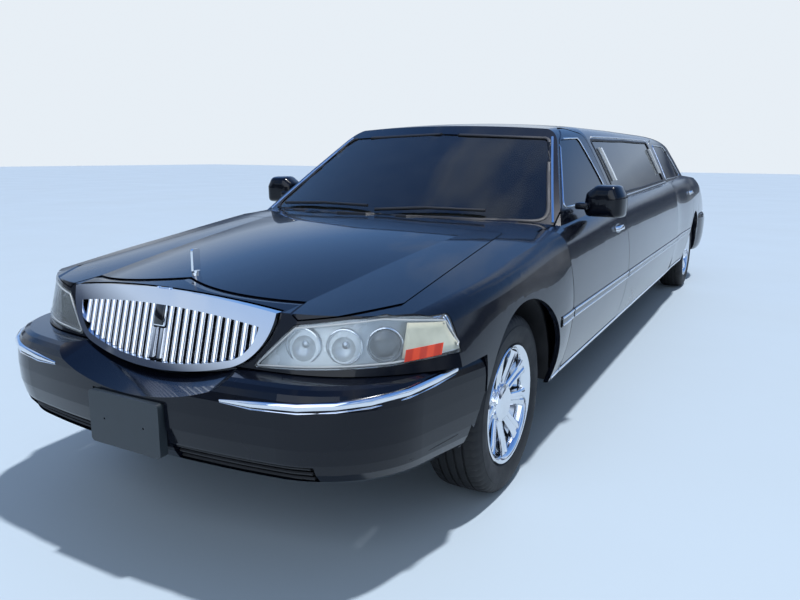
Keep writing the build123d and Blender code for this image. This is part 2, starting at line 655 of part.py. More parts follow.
def wheel(x_centre, station):
    """A left wheel: rim with nine spokes, and its tyre, turned about the axle line."""
    def ring(points):
        spun = revolve(make_face(Polyline(*[(u, v, 0) for u, v in points], close=True)), Axis.X)
        return Pos(x_centre, station, HUB_HEIGHT) * spun

    half = TYRE_WIDTH / 2
    outer = [Line((-82, 218, 0), (-92, 237, 0)),
             ThreePointArc((-92, 237, 0), (-half, 288, 0), (-98, 334, 0)),
             Line((-98, 334, 0), (-80, TYRE_RADIUS, 0)),
             Line((-80, TYRE_RADIUS, 0), (80, TYRE_RADIUS, 0)),
             Line((80, TYRE_RADIUS, 0), (98, 334, 0)),
             ThreePointArc((98, 334, 0), (half, 288, 0), (92, 237, 0)),
             Line((92, 237, 0), (82, 218, 0)),
             Line((82, 218, 0), (70, 218, 0)),
             ThreePointArc((70, 218, 0), (96, 284, 0), (79, 326, 0)),
             Line((79, 326, 0), (-79, 326, 0)),
             ThreePointArc((-79, 326, 0), (-96, 284, 0), (-70, 218, 0)),
             Line((-70, 218, 0), (-82, 218, 0))]
    tyre = Pos(x_centre, station, HUB_HEIGHT) * revolve(make_face(Wire(outer)), Axis.X)
    barrel = ring(((-100, 232), (-95, 232), (-86, 216), (-40, 216), (-28, 194), (36, 194), (52, 216), (86, 216),
                   (95, 232), (101, 230), (97, 214), (88, 206), (56, 206), (40, 186), (-32, 186), (-46, 208),
                   (-88, 208)))
    hub = ring(((34, 31), (34, 84), (48, 84), (66, 60), (74, 56), (78, 44), (79, 31)))
    cap = ring(((66, 0.01), (66, 31), (79, 31), (81, 20), (82, 0.01)))
    spokes = hub + cap
    blade = Polyline((44, 50, 0), (64, 50, 0), (88, 210, 0), (58, 210, 0), close=True)
    for index in range(SPOKES):
        slab = extrude(make_face(blade), amount=SPOKE_WIDTH / 2, both=True)
        spokes += Pos(x_centre, station, HUB_HEIGHT) * Rot(index * 360 / SPOKES, 0, 0) * slab
    rim = barrel + spokes
    return rim, tyre


def cushion(x, s, z, round_edge=35):
    return fillet(block(x, s, z).edges(), round_edge)


def seats():
    """Front pair, long side bench and rear bench."""
    pieces = []
    for side in (1, -1):
        low, high = sorted((side * 110, side * 640))
        base = cushion((low, high), (1180, 1690), (353, 600))
        back = Pos(side * 375, 1735, 830) * Rot(-14, 0, 0) * fillet(Box(510, 130, 560).edges(), 35)
        pieces.append(base + back)
    pieces.append(cushion((-800, -370), (2250, 4380), (353, 700)) + cushion((-810, -700), (2250, 4380), (560, 1020)))
    pieces.append(cushion((-590, 590), (4700, 5270), (553, 800)) + Pos(0, 5290, 920) * Rot(-12, 0, 0) * fillet(
        Box(1160, 120, 540).edges(), 35))
    return pieces


def steering_wheel():
    turn = Pos(372, 1010, 905) * Rot(-62, 0, 0)
    wheel_rim = turn * Torus(180, 15)
    spokes = turn * (Box(345, 34, 14) + Pos(0, -85, 0) * Box(34, 170, 14))
    column = turn * Pos(0, 0, 60) * Cylinder(26, 150)
    return wheel_rim + spokes + column


def dashboard():
    line = ((560, 560), (700, 520), (820, 640), (900, 760), (880, 860), (800, 905), (560, 905))
    return side_prism(line, -760, 760)


def screen_spot(x, z, out):
    """A point standing out of the windscreen."""
    z_base, s_middle, s_side = SCREEN_BASE
    middle = s_middle + (z - z_base) * SCREEN_RISE
    side = s_side + (z - z_base) * SCREEN_SIDE_RISE
    return Vector(x, middle + (side - middle) * (x / BOW_X) ** 2 - out, z)


def rod(start, end, radius):
    run = Vector(*end) - Vector(*start)
    return extrude(Plane(origin=start, z_dir=run.normalized()) * Circle(radius), amount=run.length)


def wipers():
    pieces = []
    for low, mid, high in (((-700, 1030), (-400, 1046), (-90, 1046)), ((-30, 1030), (230, 1046), (520, 1042))):
        blade = rod(screen_spot(*mid, 30), screen_spot(*high, 34), 7) + rod(
            screen_spot(*low, 34), screen_spot(*mid, 30), 8)
        pieces.append(blade)
    return pieces


MIRROR_FACE = ((886, 1040, 12), (900, 1150, 22), (960, 1162), (1052, 1158, 30), (1082, 1120), (1080, 1004, 26),
               (1020, 984), (975, 986, 20), (930, 1032, 14))


def mirror_left():
    """Door mirror on its foot at the front corner of the window."""
    face = smooth_outline(MIRROR_FACE, lambda x, z: (x, 978, z), 0)
    shell = extrude(face, amount=112, dir=(0, 1, 0))
    shell = fillet(shell.faces().sort_by(Axis.Y)[0].edges(), 22)
    foot = plan_prism(((868, 880), (905, 900), (930, 1040), (868, 1010)), 1044, 1078)
    return shell.rotate(Axis((965, 1035, 1072), (0, 0, 1)), -8) + foot


def ornament(seat):
    """A plain upright blade on a round foot that sits on the hood."""
    base = Pos(0, -716, 892) * Cylinder(14, 18)
    blade = block((-5, 5), (-733, -699), (892, 976))
    return (base + fillet(blade.edges().filter_by(Axis.X), 8)) - seat


def exhaust():
    pieces = []
    for side in (1, -1):
        x = side * EXHAUST_X
        pipe = rod((x, 420, 268), (x, 6475, 262), 27)
        pieces.append(pipe + block((x - 80, x + 80), (2100, 2640), (205, 318)) + block(
            (x - 90, x + 90), (5700, 6150), (222, 334)))
    return pieces


wings, hood = front_and_nose()
shell, door_front, door_rear, lid = body_and_doors()
lid -= plate_holes(6100, 6700, REAR_PLATE_Z)
frame = chassis()
surround, bars, backing = grille()
lens, housing = headlamps()
screen, back_glass, stretch_glass, front_pane, rear_pane = glazing()
tails = tail_lamps()
beam, upper_left, upper_right = front_suspension()
left_knuckle = knuckle()
outside = cabin(-16) - cabin(-1)
lamp_strips = [outside & side_cut(outline, 500, 1100)
               for outline in (((1965, 1155), (1948, 1350), (1984, 1350), (2001, 1155)),
                               ((3660, 1165), (3640, 1360), (3676, 1360), (3696, 1165)))]

write("front_wings", wings)
write("hood", hood)
write("hood_ornament", ornament(hood))
write("body_shell", shell)
write("door_front_left", door_front)
write("door_front_right", mirrored(door_front))
write("door_rear_left", door_rear)
write("door_rear_right", mirrored(door_rear))
write("door_glass_front_left", front_pane)
write("door_glass_front_right", mirrored(front_pane))
write("door_glass_rear_left", rear_pane)
write("door_glass_rear_right", mirrored(rear_pane))
write("mirror_left", mirror_left())
write("mirror_right", mirrored(mirror_left()))
write("trunk_lid", lid)
write("windscreen", screen)
write("rear_window", back_glass)
write("stretch_glass", stretch_glass, mirrored(stretch_glass))
write("pillar_lamps", *lamp_strips, *[mirrored(strip) for strip in lamp_strips])
write("grille_surround", surround, *bars)
write("grille_backing", backing)
write("headlamp_lenses", lens, mirrored(lens))
write("headlamp_housings", housing, mirrored(housing))
write("tail_lamps", tails, mirrored(tails))
write("bumper_front", front_bumper())
write("bumper_rear", rear_bumper())
write("plate_block", number_plate_block())
write("wheel_housings", *wheel_housings())
write("floor_pan", floor_pan(frame))
write("chassis_frame", frame)
write("engine_block", block((-300, 300), (-430, 380), (510, 800)), block((-370, 370), (-790, -750), (430, 780)))
write("front_suspension", beam, upper_left, upper_right)
write("rear_axle", rear_axle())
write("fuel_tank", block((-220, 220), (5720, 6220), (342, 388)))
write("exhaust", *exhaust())
write("knuckle_left", left_knuckle)
write("knuckle_right", mirrored(left_knuckle))
for label, x_centre, station in (("front", HALF_TRACK_FRONT, 0), ("rear", HALF_TRACK_REAR, REAR_AXLE)):
    rim, tyre = wheel(x_centre, station)
    write(f"rim_{label}_left", rim)
    write(f"rim_{label}_right", mirrored(rim))
    write(f"tyre_{label}_left", tyre)
    write(f"tyre_{label}_right", mirrored(tyre))
write("seats", *seats())
write("dashboard", dashboard())
write("steering_wheel", steering_wheel())
write("wipers", *wipers())
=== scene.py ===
"""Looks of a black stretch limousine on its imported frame: materials, trim, wheels, lamps, seats and stage.

Metres. +X is the car's left, the nose faces -Y, +Z is up. A place along the car is a station: metres
rearwards from the front axle.
"""
import json
import math

import bmesh
import bpy
from bpy.props import BoolProperty, FloatProperty, FloatVectorProperty, IntProperty, PointerProperty
from mathutils import Matrix, Vector
from mathutils.bvhtree import BVHTree


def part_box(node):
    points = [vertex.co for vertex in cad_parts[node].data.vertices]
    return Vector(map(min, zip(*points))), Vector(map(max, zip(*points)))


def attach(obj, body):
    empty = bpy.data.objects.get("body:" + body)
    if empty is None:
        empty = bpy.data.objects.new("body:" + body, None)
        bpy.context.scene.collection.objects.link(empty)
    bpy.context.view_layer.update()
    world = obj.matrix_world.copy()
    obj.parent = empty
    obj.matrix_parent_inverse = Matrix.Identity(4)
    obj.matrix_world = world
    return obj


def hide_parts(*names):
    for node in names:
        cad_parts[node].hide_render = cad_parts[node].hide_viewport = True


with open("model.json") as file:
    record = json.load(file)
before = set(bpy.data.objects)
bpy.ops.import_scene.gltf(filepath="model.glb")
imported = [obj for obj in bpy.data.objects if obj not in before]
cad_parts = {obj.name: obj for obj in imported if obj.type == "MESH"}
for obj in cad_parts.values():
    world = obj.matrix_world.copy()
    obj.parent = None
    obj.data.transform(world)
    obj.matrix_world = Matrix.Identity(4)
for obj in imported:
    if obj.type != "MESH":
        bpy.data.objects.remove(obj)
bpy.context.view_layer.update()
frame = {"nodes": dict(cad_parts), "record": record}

bl_info = {
    "name": "Stretch Limousine",
    "version": (1, 0, 0),
    "blender": (4, 5, 0),
    "location": "View3D > Sidebar > Limousine",
    "description": "Builds the visible pieces of a stretch limousine on its packed frame",
    "category": "Object",
}


# Places read from the frame

LEFT, REAR, UP = Vector((1, 0, 0)), Vector((0, 1, 0)), Vector((0, 0, 1))
SIDES = ((1, "left"), (-1, "right"))
WHEELS = [(end, side, word) for end in ("front", "rear") for side, word in SIDES]
TYRE_RADIUS = 0.351
# Body, panel and glass of each side door
DOORS = {(end, side): (f"door_{end[0]}{word[0]}", f"door_{end}_{word}", f"door_glass_{end}_{word}")
         for end, side, word in WHEELS}


def box_centre(node):
    low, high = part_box(node)
    return (low + high) / 2


def wheel_place(end, word):
    """A wheel's centre and the body that turns with it."""
    centre = box_centre(f"tyre_{end}_{word}")
    centre.z = TYRE_RADIUS
    return centre, "wheel_" + end[0] + word[0]


AXLE_Y = box_centre("tyre_front_left").y


def along(station):
    """The frame's Y of a station."""
    return AXLE_Y + station


# Material helpers

def add(tree, kind, inputs=None, **settings):
    """A node with its settings and inputs; an input that is given a socket is linked to it."""
    node = tree.nodes.new(kind)
    for key, value in settings.items():
        setattr(node, key, value)
    for key, value in (inputs or {}).items():
        if isinstance(value, bpy.types.NodeSocket):
            tree.links.new(value, node.inputs[key])
        else:
            node.inputs[key].default_value = value
    return node


def new_material(name):
    mat = bpy.data.materials.new(name)
    mat.use_nodes = True
    mat.node_tree.nodes.clear()
    return mat, mat.node_tree


def mapped(tree, stretch):
    """Places in the piece's own space."""
    place = add(tree, "ShaderNodeTexCoord").outputs["Object"]
    return add(tree, "ShaderNodeMapping", {"Vector": place, "Scale": stretch}).outputs["Vector"]


def object_noise(tree, scale, detail=3.0, stretch=(1, 1, 1)):
    inputs = {"Vector": mapped(tree, stretch), "Scale": scale, "Detail": detail}
    return add(tree, "ShaderNodeTexNoise", inputs).outputs["Fac"]


def ranged(tree, source, low, high, start=0.3, end=0.7):
    """A source's values from start to end, spread over low to high."""
    inputs = {"Value": source, "From Min": start, "From Max": end, "To Min": low, "To Max": high}
    return add(tree, "ShaderNodeMapRange", inputs).outputs["Result"]


def blend(tree, factor, first, second):
    """Two colours, each a tone or a socket, mixed by a factor."""
    mix = add(tree, "ShaderNodeMix", {"Factor": factor}, data_type="RGBA")
    for socket, tone in zip([s for s in mix.inputs if s.type == "RGBA"], (first, second)):
        if isinstance(tone, bpy.types.NodeSocket):
            tree.links.new(tone, socket)
        else:
            socket.default_value = (*tone, 1)
    return [s for s in mix.outputs if s.type == "RGBA"][0]


def bumped(tree, source, strength, distance):
    bump = add(tree, "ShaderNodeBump", {"Height": source, "Strength": strength, "Distance": distance})
    return bump.outputs["Normal"]


def plain_finish(name, first, second, rough, grain, patch, metallic=0, coat=0, coat_ior=1.5, specular=0.5,
                 stretch=(1, 1, 1)):
    """A surface with two close tones in patches, roughness between two values and a fine bump."""
    mat, tree = new_material(name)
    wide = object_noise(tree, patch, 4.0, stretch)
    scale, strength, distance = grain
    shader = add(tree, "ShaderNodeBsdfPrincipled", {
        "Base Color": blend(tree, ranged(tree, wide, 0, 1), first, second),
        "Roughness": ranged(tree, wide, *rough), "Metallic": metallic, "Specular IOR Level": specular,
        "Coat Weight": coat, "Coat Roughness": 0.03, "Coat IOR": coat_ior,
        "Normal": bumped(tree, object_noise(tree, scale, 2.0, stretch), strength, distance)})
    add(tree, "ShaderNodeOutputMaterial", {"Surface": shader.outputs["BSDF"]})
    return mat


def ribbed_lens(name, first, second, scale, direction):
    """A moulded plastic lens with fine optical ribs under a clear face."""
    mat, tree = new_material(name)
    vector = mapped(tree, [d or 0.001 for d in direction])
    ribs = add(tree, "ShaderNodeTexWave", {"Vector": vector, "Scale": scale}).outputs["Fac"]
    shader = add(tree, "ShaderNodeBsdfPrincipled", {
        "Base Color": blend(tree, ranged(tree, ribs, 0, 1), first, second), "Roughness": 0.18,
        "Coat Weight": 1.0, "Normal": bumped(tree, ribs, 0.25, 0.0008)})
    add(tree, "ShaderNodeOutputMaterial", {"Surface": shader.outputs["BSDF"]})
    return mat


def clear_sheet(name, tint, veil=0.0, haze_tone=(0.75, 0.77, 0.78), ior=1.52):
    """Thin glass: what lies behind shows through a tint, and the sky shows in it more at a slant."""
    mat, tree = new_material(name)
    through = add(tree, "ShaderNodeBsdfTransparent", {"Color": (*tint, 1)})
    gloss = add(tree, "ShaderNodeBsdfGlossy", {"Color": (1, 1, 1, 1), "Roughness": ranged(
        tree, object_noise(tree, 5.0), 0.01, 0.03)})
    slant = add(tree, "ShaderNodeFresnel", {"IOR": ior})
    last = add(tree, "ShaderNodeMixShader", {"Fac": slant.outputs["Fac"], 1: through.outputs["BSDF"],
                                             2: gloss.outputs["BSDF"]})
    if veil:
        haze = add(tree, "ShaderNodeBsdfDiffuse", {"Color": (*haze_tone, 1)})
        last = add(tree, "ShaderNodeMixShader", {
            "Fac": ranged(tree, object_noise(tree, 9.0), veil * 0.6, veil), 1: last.outputs["Shader"],
            2: haze.outputs["BSDF"]})
    add(tree, "ShaderNodeOutputMaterial", {"Surface": last.outputs["Shader"]})
    return mat


# Two tones, roughness from and to, grain (scale, strength, height), scale of the patches, and, where they
# aren't the usual ones: metallic, coat, the coat's index, specular level, and stretch
PLAIN = {
    "black_paint": ((0.0022, 0.0032, 0.007), (0.0032, 0.0046, 0.0095), (0.22, 0.28), (240, 0.015, 0.0002),
                    1.5, 0, 0.8, 1.36, 0.08),
    "chrome": ((0.86, 0.87, 0.89), (0.8, 0.81, 0.84), (0.03, 0.07), (30, 0.03, 0.0003), 3, 1),
    "wheel_chrome": ((0.84, 0.85, 0.87), (0.74, 0.76, 0.79), (0.06, 0.14), (80, 0.05, 0.0003), 14, 1),
    "bowl_chrome": ((0.94, 0.95, 0.96), (0.8, 0.82, 0.85), (0.05, 0.12), (140, 0.3, 0.0012), 40, 0.7),
    "lamp_silver": ((0.72, 0.75, 0.77), (0.84, 0.87, 0.88), (0.18, 0.3), (90, 0.1, 0.0004), 12, 0.25, 0.4),
    "satin_metal": ((0.5, 0.52, 0.55), (0.62, 0.64, 0.66), (0.22, 0.34), (120, 0.1, 0.0003), 10, 0.9),
    "mirror_silver": ((0.86, 0.87, 0.88), (0.88, 0.89, 0.9), (0.01, 0.02), (10, 0, 0.0001), 4, 1),
    "casting": ((0.09, 0.088, 0.086), (0.16, 0.155, 0.15), (0.5, 0.72), (300, 0.5, 0.001), 9, 0.7),
    "pipe_steel": ((0.3, 0.29, 0.27), (0.46, 0.44, 0.4), (0.3, 0.5), (90, 0.2, 0.0005), 5, 1, 0, 1.5, 0.5,
                   (1, 0.15, 1)),
    "lens_rim": ((0.46, 0.48, 0.49), (0.56, 0.58, 0.58), (0.12, 0.2), (90, 0.04, 0.0003), 9, 0, 0.6),
    "gloss_black": ((0.004, 0.004, 0.005), (0.008, 0.008, 0.01), (0.06, 0.12), (60, 0.03, 0.0003), 4, 0, 0.6),
    "black_plastic": ((0.007, 0.007, 0.008), (0.014, 0.014, 0.016), (0.45, 0.62), (700, 0.25, 0.0004), 9),
    "slate": ((0.02, 0.028, 0.035), (0.028, 0.037, 0.045), (0.34, 0.46), (500, 0.2, 0.0003), 14),
    "tyre_rubber": ((0.007, 0.0072, 0.008), (0.014, 0.0142, 0.0152), (0.6, 0.8), (420, 0.35, 0.0006), 18),
    "black_leather": ((0.014, 0.014, 0.016), (0.028, 0.027, 0.028), (0.38, 0.55), (260, 0.5, 0.001), 8),
    "carpet": ((0.02, 0.02, 0.022), (0.042, 0.041, 0.042), (0.85, 0.98), (900, 0.8, 0.002), 40),
    "chassis_paint": ((0.02, 0.019, 0.018), (0.05, 0.046, 0.041), (0.55, 0.8), (160, 0.4, 0.001), 6),
}
# Two tones, scale of the ribs, and the directions across them
RIBBED = {
    "white_lens": ((0.8, 0.81, 0.8), (0.66, 0.67, 0.67), 12, (0, 0, 1)),
    "red_lens": ((0.36, 0.005, 0.006), (0.24, 0.003, 0.004), 40, (1, 0, 1)),
    "amber_red_lens": ((0.86, 0.075, 0.022), (0.62, 0.04, 0.014), 10.5, (1, 1, 0)),
    "fog_lens": ((0.26, 0.27, 0.28), (0.12, 0.125, 0.13), 45, (0, 0, 1)),
}
# Tint, veil, the veil's tone, and the refractive index
SHEETS = {
    "cream_lens": ((0.94, 0.95, 0.88), 0.72, (0.9, 0.9, 0.76), 1.34),
    "lens_glass": ((0.93, 0.95, 0.96), 0.08, (0.85, 0.87, 0.86), 1.34),
    "dark_glass": ((0.1, 0.12, 0.13),),
    "screen_glass": ((0.5, 0.58, 0.57), 0.012),
}
# Looks of the record's slots, and slots of the looks, where the two names differ
LOOK_OF_SLOT = {"clear_lens": "lens_glass", "reflector": "lamp_silver", "slate_plastic": "slate",
                "under_steel": "chassis_paint", "cast_block": "casting", "chrome_wheel": "wheel_chrome",
                "tyre": "tyre_rubber"}
MADE = {}


def look(name):
    """The material of a look, made at its first use."""
    for make, table in ((plain_finish, PLAIN), (ribbed_lens, RIBBED), (clear_sheet, SHEETS)):
        if name in table and name not in MADE:
            MADE[name] = make(name + "_look", *table[name])
    return MADE[name]


# Mesh helpers

def piece(name, bm, material, body="chassis", smooth=38, replaces=(), slot=None, level=0, width=None):
    """Turns a bmesh into a piece that rides on a body."""
    bmesh.ops.remove_doubles(bm, verts=bm.verts, dist=1e-6)
    bmesh.ops.recalc_face_normals(bm, faces=bm.faces)
    data = bpy.data.meshes.new(name)
    bm.to_mesh(data)
    bm.free()
    for poly in data.polygons:
        poly.use_smooth = True
    data.set_sharp_from_angle(angle=math.radians(smooth))
    obj = bpy.data.objects.new(name, data)
    bpy.context.scene.collection.objects.link(obj)
    data.materials.append(look(material))
    if width:
        bevel = obj.modifiers.new("soft_edges", "BEVEL")
        bevel.width, bevel.segments, bevel.limit_method = width, 3, "ANGLE"
    if level:
        fine = obj.modifiers.new("smooth", "SUBSURF")
        fine.levels = fine.render_levels = level
    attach(obj, body)
    if replaces:
        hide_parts(*replaces)
    return obj


def join_rings(bm, rings, loop=False, caps=True, closed=True):
    """Faces between neighbouring rings; a loop joins the last to the first, and caps close the ends."""
    pairs = list(zip(rings, rings[1:])) + ([(rings[-1], rings[0])] if loop else [])
    for first, second in pairs:
        count = len(first)
        for i in range(count if closed else count - 1):
            j = (i + 1) % count
            bm.faces.new((first[i], first[j], second[j], second[i]))
    if caps and not loop:
        bm.faces.new(rings[0])
        bm.faces.new(list(reversed(rings[-1])))


def prism(bm, rings, loop=False):
    """A closed body through rings of points."""
    join_rings(bm, [[bm.verts.new(p) for p in ring] for ring in rings], loop)


def sweep(bm, frames, profile, loop=False, scales=None):
    """A profile of (out, up) pairs carried along frames of (point, out, up)."""
    scales = scales or [1.0] * len(frames)
    prism(bm, [[point + out * a * k + up * b * k for a, b in profile]
               for (point, out, up), k in zip(frames, scales)], loop)


def lathe(bm, centre, axis, profile, segments, radius_at=None, loop=False, caps=False):
    """Turns (distance along axis, radius) pairs about an axis through centre."""
    axis = axis.normalized()
    start = (UP - axis * UP.dot(axis)).normalized()
    other = axis.cross(start)
    rings = []
    for index, (u, radius) in enumerate(profile):
        ring = []
        for k in range(segments):
            angle = 2 * math.pi * k / segments
            r = radius_at(index, k, radius) if radius_at else radius
            arm = start * math.cos(angle) + other * math.sin(angle)
            ring.append(bm.verts.new(centre + axis * u + arm * r))
        rings.append(ring)
    join_rings(bm, rings, loop, caps)


def soft_box(bm, low, high, width=0.01, segments=2, turn=None, pivot=None):
    """A bevelled box, turned about a pivot if asked."""
    made = bmesh.ops.create_cube(bm, size=1.0)["verts"]
    middle, size = (Vector(low) + Vector(high)) / 2, Vector(high) - Vector(low)
    for v in made:
        v.co = Vector((v.co.x * size.x, v.co.y * size.y, v.co.z * size.z)) + middle
    edges = list({e for v in made for e in v.link_edges})
    bevelled = bmesh.ops.bevel(bm, geom=edges + made, offset=width, segments=segments, profile=0.5,
                               affect="EDGES")
    if turn is not None:
        verts = list({v for f in bevelled["faces"] for v in f.verts} | {v for v in made if v.is_valid})
        pivot = Vector(pivot) if pivot else middle
        for v in verts:
            v.co = pivot + turn @ (v.co - pivot)


def half_round(width, height, count=7):
    """A closed profile standing out by height: flat foot, rounded face."""
    points = [(-0.002, -width / 2)]
    for i in range(count):
        angle = math.pi * i / (count - 1)
        points.append((height * math.sin(angle) ** 0.8, -width / 2 * math.cos(angle)))
    points.append((-0.002, width / 2))
    return points


class Skin:
    """Finds points on the CAD surfaces by casting rays at them."""

    # How far from the asked place a face beside a gap is looked for
    REACHES = (0, 0.005, 0.01, 0.016, 0.024, 0.034)

    def __init__(self, *names):
        verts, faces = [], []
        for name in names:
            data = frame["nodes"][name].data
            base = len(verts)
            verts += [v.co.copy() for v in data.vertices]
            faces += [[base + i for i in p.vertices] for p in data.polygons]
        self.tree = BVHTree.FromPolygons(verts, faces)

    def beside(self, start, direction, across, limit):
        """The face ahead of start; where a gap opens there, the nearest face beside it."""
        for reach in self.REACHES:
            for turn in range(8):
                step = across * math.cos(turn * math.pi / 4) + UP * math.sin(turn * math.pi / 4)
                spot, normal, _, _ = self.tree.ray_cast(start + step * reach, direction)
                if spot is not None and (spot - start).length < limit:
                    facing = -normal if normal.dot(direction) > 0 else normal
                    return start + direction * (spot - start).dot(direction), facing
        raise ValueError(f"no face near {tuple(round(c, 3) for c in start)}")

    def side(self, side, station, z):
        return self.beside(Vector((side * 2, along(station), z)), -side * LEFT, REAR, 1.6)

    def front(self, x, z):
        return self.beside(Vector((x, along(-3), z)), REAR, LEFT, 5.2)

    def back(self, x, z):
        return self.beside(Vector((x, along(9), z)), -REAR, LEFT, 4.5)

    def towards(self, side, x, station, z, facing):
        """The face met from a place 0.4 m ahead, looking against the way that the face faces."""
        out = facing_out(side, facing)
        return self.beside(Vector((side * x, along(station), z)) + out * 0.4, -out, UP.cross(out), 1.0)


def facing_out(side, degrees):
    """The level direction that lies so many degrees outwards from straight ahead."""
    angle = math.radians(degrees)
    return Vector((side * math.sin(angle), -math.cos(angle), 0))


def raised(spots, height):
    return [(point + normal * height, normal) for point, normal in spots]


def frames_on(spots, loop=False):
    """Frames along a run of (point, normal): out is the normal, up lies across the run."""
    made = []
    count = len(spots)
    for i, (point, normal) in enumerate(spots):
        ahead = spots[(i + 1) % count][0] if loop or i < count - 1 else point
        behind = spots[i - 1][0] if loop or i > 0 else point
        made.append((point, normal, normal.cross((ahead - behind).normalized()).normalized()))
    return made


def strip(name, spots, profile, material, body="chassis", loop=False, scales=None, **values):
    """A piece with one profile carried along a run of (point, normal)."""
    bm = bmesh.new()
    sweep(bm, frames_on(spots, loop), profile, loop, scales)
    piece(name, bm, material, body, **values)


def rounded(corners, arc=5):
    """Points round a corner list; a third number rounds that corner."""
    points = []
    count = len(corners)
    for i, corner in enumerate(corners):
        here = Vector(corner[:2])
        if len(corner) < 3:
            points.append(here)
            continue
        before = (Vector(corners[i - 1][:2]) - here).normalized()
        after = (Vector(corners[(i + 1) % count][:2]) - here).normalized()
        reach = corner[2] / math.tan(before.angle(after) / 2)
        start, end = here + before * reach, here + after * reach
        for k in range(arc + 1):
            t = k / arc
            points.append((1 - t) ** 2 * start + 2 * t * (1 - t) * here + t ** 2 * end)
    return points


def filled(points, step, loop=True):
    """More points along each straight stretch, at most step apart."""
    made = []
    count = len(points)
    for i in range(count if loop else count - 1):
        a, b = points[i], points[(i + 1) % count]
        parts = max(1, math.ceil((b - a).length / step))
        made += [a.lerp(b, k / parts) for k in range(parts)]
    if not loop:
        made.append(points[-1])
    return made


# Settings

def length(name, description, default):
    return FloatProperty(name=name, description=description, default=default, unit="LENGTH")


class LimoTrimSettings(bpy.types.PropertyGroup):
    """Bright trim on the body."""
    moulding_height: length("Moulding height", "Height of the side moulding's centre", 0.612)
    strip_width: length("Strip width", "Height of one bright strip", 0.01)
    strip_pitch: length("Strip pitch", "Distance between the two bright strips", 0.03)
    window_trim: length("Window trim", "Width of the bright line round a side window", 0.008)
    rocker_height: length("Rocker strip height", "Height of the rocker strip's centre", 0.335)


class LimoWheelSettings(bpy.types.PropertyGroup):
    """Tyres and rims."""
    spokes: IntProperty(name="Spokes", description="Spokes of each rim", default=9, min=3)
    tread_blocks: IntProperty(name="Tread blocks", description="Shoulder blocks round each tyre", default=64,
                              min=8)
    groove_depth: length("Groove depth", "Depth of the tread grooves", 0.007)


class LimoLampSettings(bpy.types.PropertyGroup):
    """Lamps and grille."""
    cup_radius: length("Cup radius", "Radius of a round headlamp reflector", 0.05)
    badge_width: length("Badge width", "Width of the plain badge block", 0.04)


class LimoStageSettings(bpy.types.PropertyGroup):
    """Floor, light and camera."""
    floor_colour: FloatVectorProperty(name="Floor colour", description="Colour of the pale floor",
                                      default=(0.52, 0.62, 0.72), size=3, min=0, max=1, subtype="COLOR")
    sun_strength: FloatProperty(name="Sun strength", description="Strength of the high sun", default=2.9,
                                min=0)
    fill_power: FloatProperty(name="Fill power", description="Power of the large soft light ahead of the car",
                              default=1050.0, unit="POWER")
    show_floor: BoolProperty(name="Floor", description="Puts a floor under the car", default=True)


# Pieces

class LIMO_OT_finish_frame(bpy.types.Operator):
    """Give every CAD node that stays in view its own procedural material"""
    bl_idname = "limo.finish_frame"
    bl_label = "Finish the frame's nodes"

    def execute(self, context):
        slots = {entry["node"]: entry["material_slot"] for entry in frame["record"]["subparts"]}
        for name, node in frame["nodes"].items():
            slot = slots[name]
            for place in node.material_slots:
                place.material = look(LOOK_OF_SLOT.get(slot, slot))
        return {"FINISHED"}


TYRE_SIDE = (
    (0.083, 0.2185), (0.093, 0.234), (0.0985, 0.24), (0.101, 0.242), (0.1075, 0.26), (0.1122, 0.285),
    (0.1105, 0.308), (0.1085, 0.3095), (0.104, 0.327), (0.0965, 0.3385), (0.088, 0.3455), (0.0745, 0.349))
# First of the profile's three points, from either end, that are notched between the shoulder blocks
SHOULDER = 9
STEPS_PER_BLOCK = 4


def tyre_profile(depth):
    """Half-widths and radii across a tyre, outer bead to inner bead, with four round grooves."""
    crown = ((0.056, 0.35), (0.055, 0.35 - depth), (0.048, 0.35 - depth), (0.047, 0.3505),
             (0.022, 0.351), (0.021, 0.351 - depth), (0.013, 0.351 - depth), (0.012, 0.351))
    half = TYRE_SIDE + crown
    return [*half, *((-u, r) for u, r in reversed(half))]


class LIMO_OT_build_tyres(bpy.types.Operator):
    """Build the four tyres with grooved tread and moulded sidewall rings"""
    bl_idname = "limo.build_tyres"
    bl_label = "Tyres"

    def execute(self, context):
        settings = context.scene.limo_wheels
        profile = tyre_profile(settings.groove_depth)
        notch = settings.groove_depth * 0.8
        shoulder = range(SHOULDER, SHOULDER + 3)

        def radius_at(index, step, radius):
            notched = min(index, len(profile) - 1 - index) in shoulder and step % STEPS_PER_BLOCK == 0
            return radius - notch if notched else radius

        for end, side, word in WHEELS:
            centre, body = wheel_place(end, word)
            bm = bmesh.new()
            lathe(bm, centre, LEFT, profile, settings.tread_blocks * STEPS_PER_BLOCK, radius_at, loop=True)
            piece(f"tread_{end}_{word}", bm, "tyre_rubber", body, smooth=30, replaces=(f"tyre_{end}_{word}",))
        return {"FINISHED"}


# Rim profiles: distance outwards along the axle, and radius
BARREL = (
    (-0.1, 0.2325), (-0.095, 0.2325), (-0.086, 0.2165), (-0.04, 0.2165), (-0.028, 0.194), (0.036, 0.194),
    (0.052, 0.2165), (0.086, 0.2165), (0.094, 0.233), (0.1, 0.2345), (0.1035, 0.232), (0.1015, 0.224),
    (0.094, 0.215), (0.082, 0.208), (0.056, 0.205), (0.04, 0.186), (-0.032, 0.186), (-0.046, 0.208),
    (-0.088, 0.208))
HUB = ((0.034, 0.034), (0.034, 0.086), (0.052, 0.086), (0.06, 0.082), (0.064, 0.076), (0.066, 0.034))
CAP = (
    (0.06, 0.0755), (0.07, 0.0755), (0.0745, 0.0735), (0.079, 0.064), (0.0835, 0.056), (0.084, 0.0535),
    (0.0828, 0.05), (0.0845, 0.03), (0.085, 0.002))
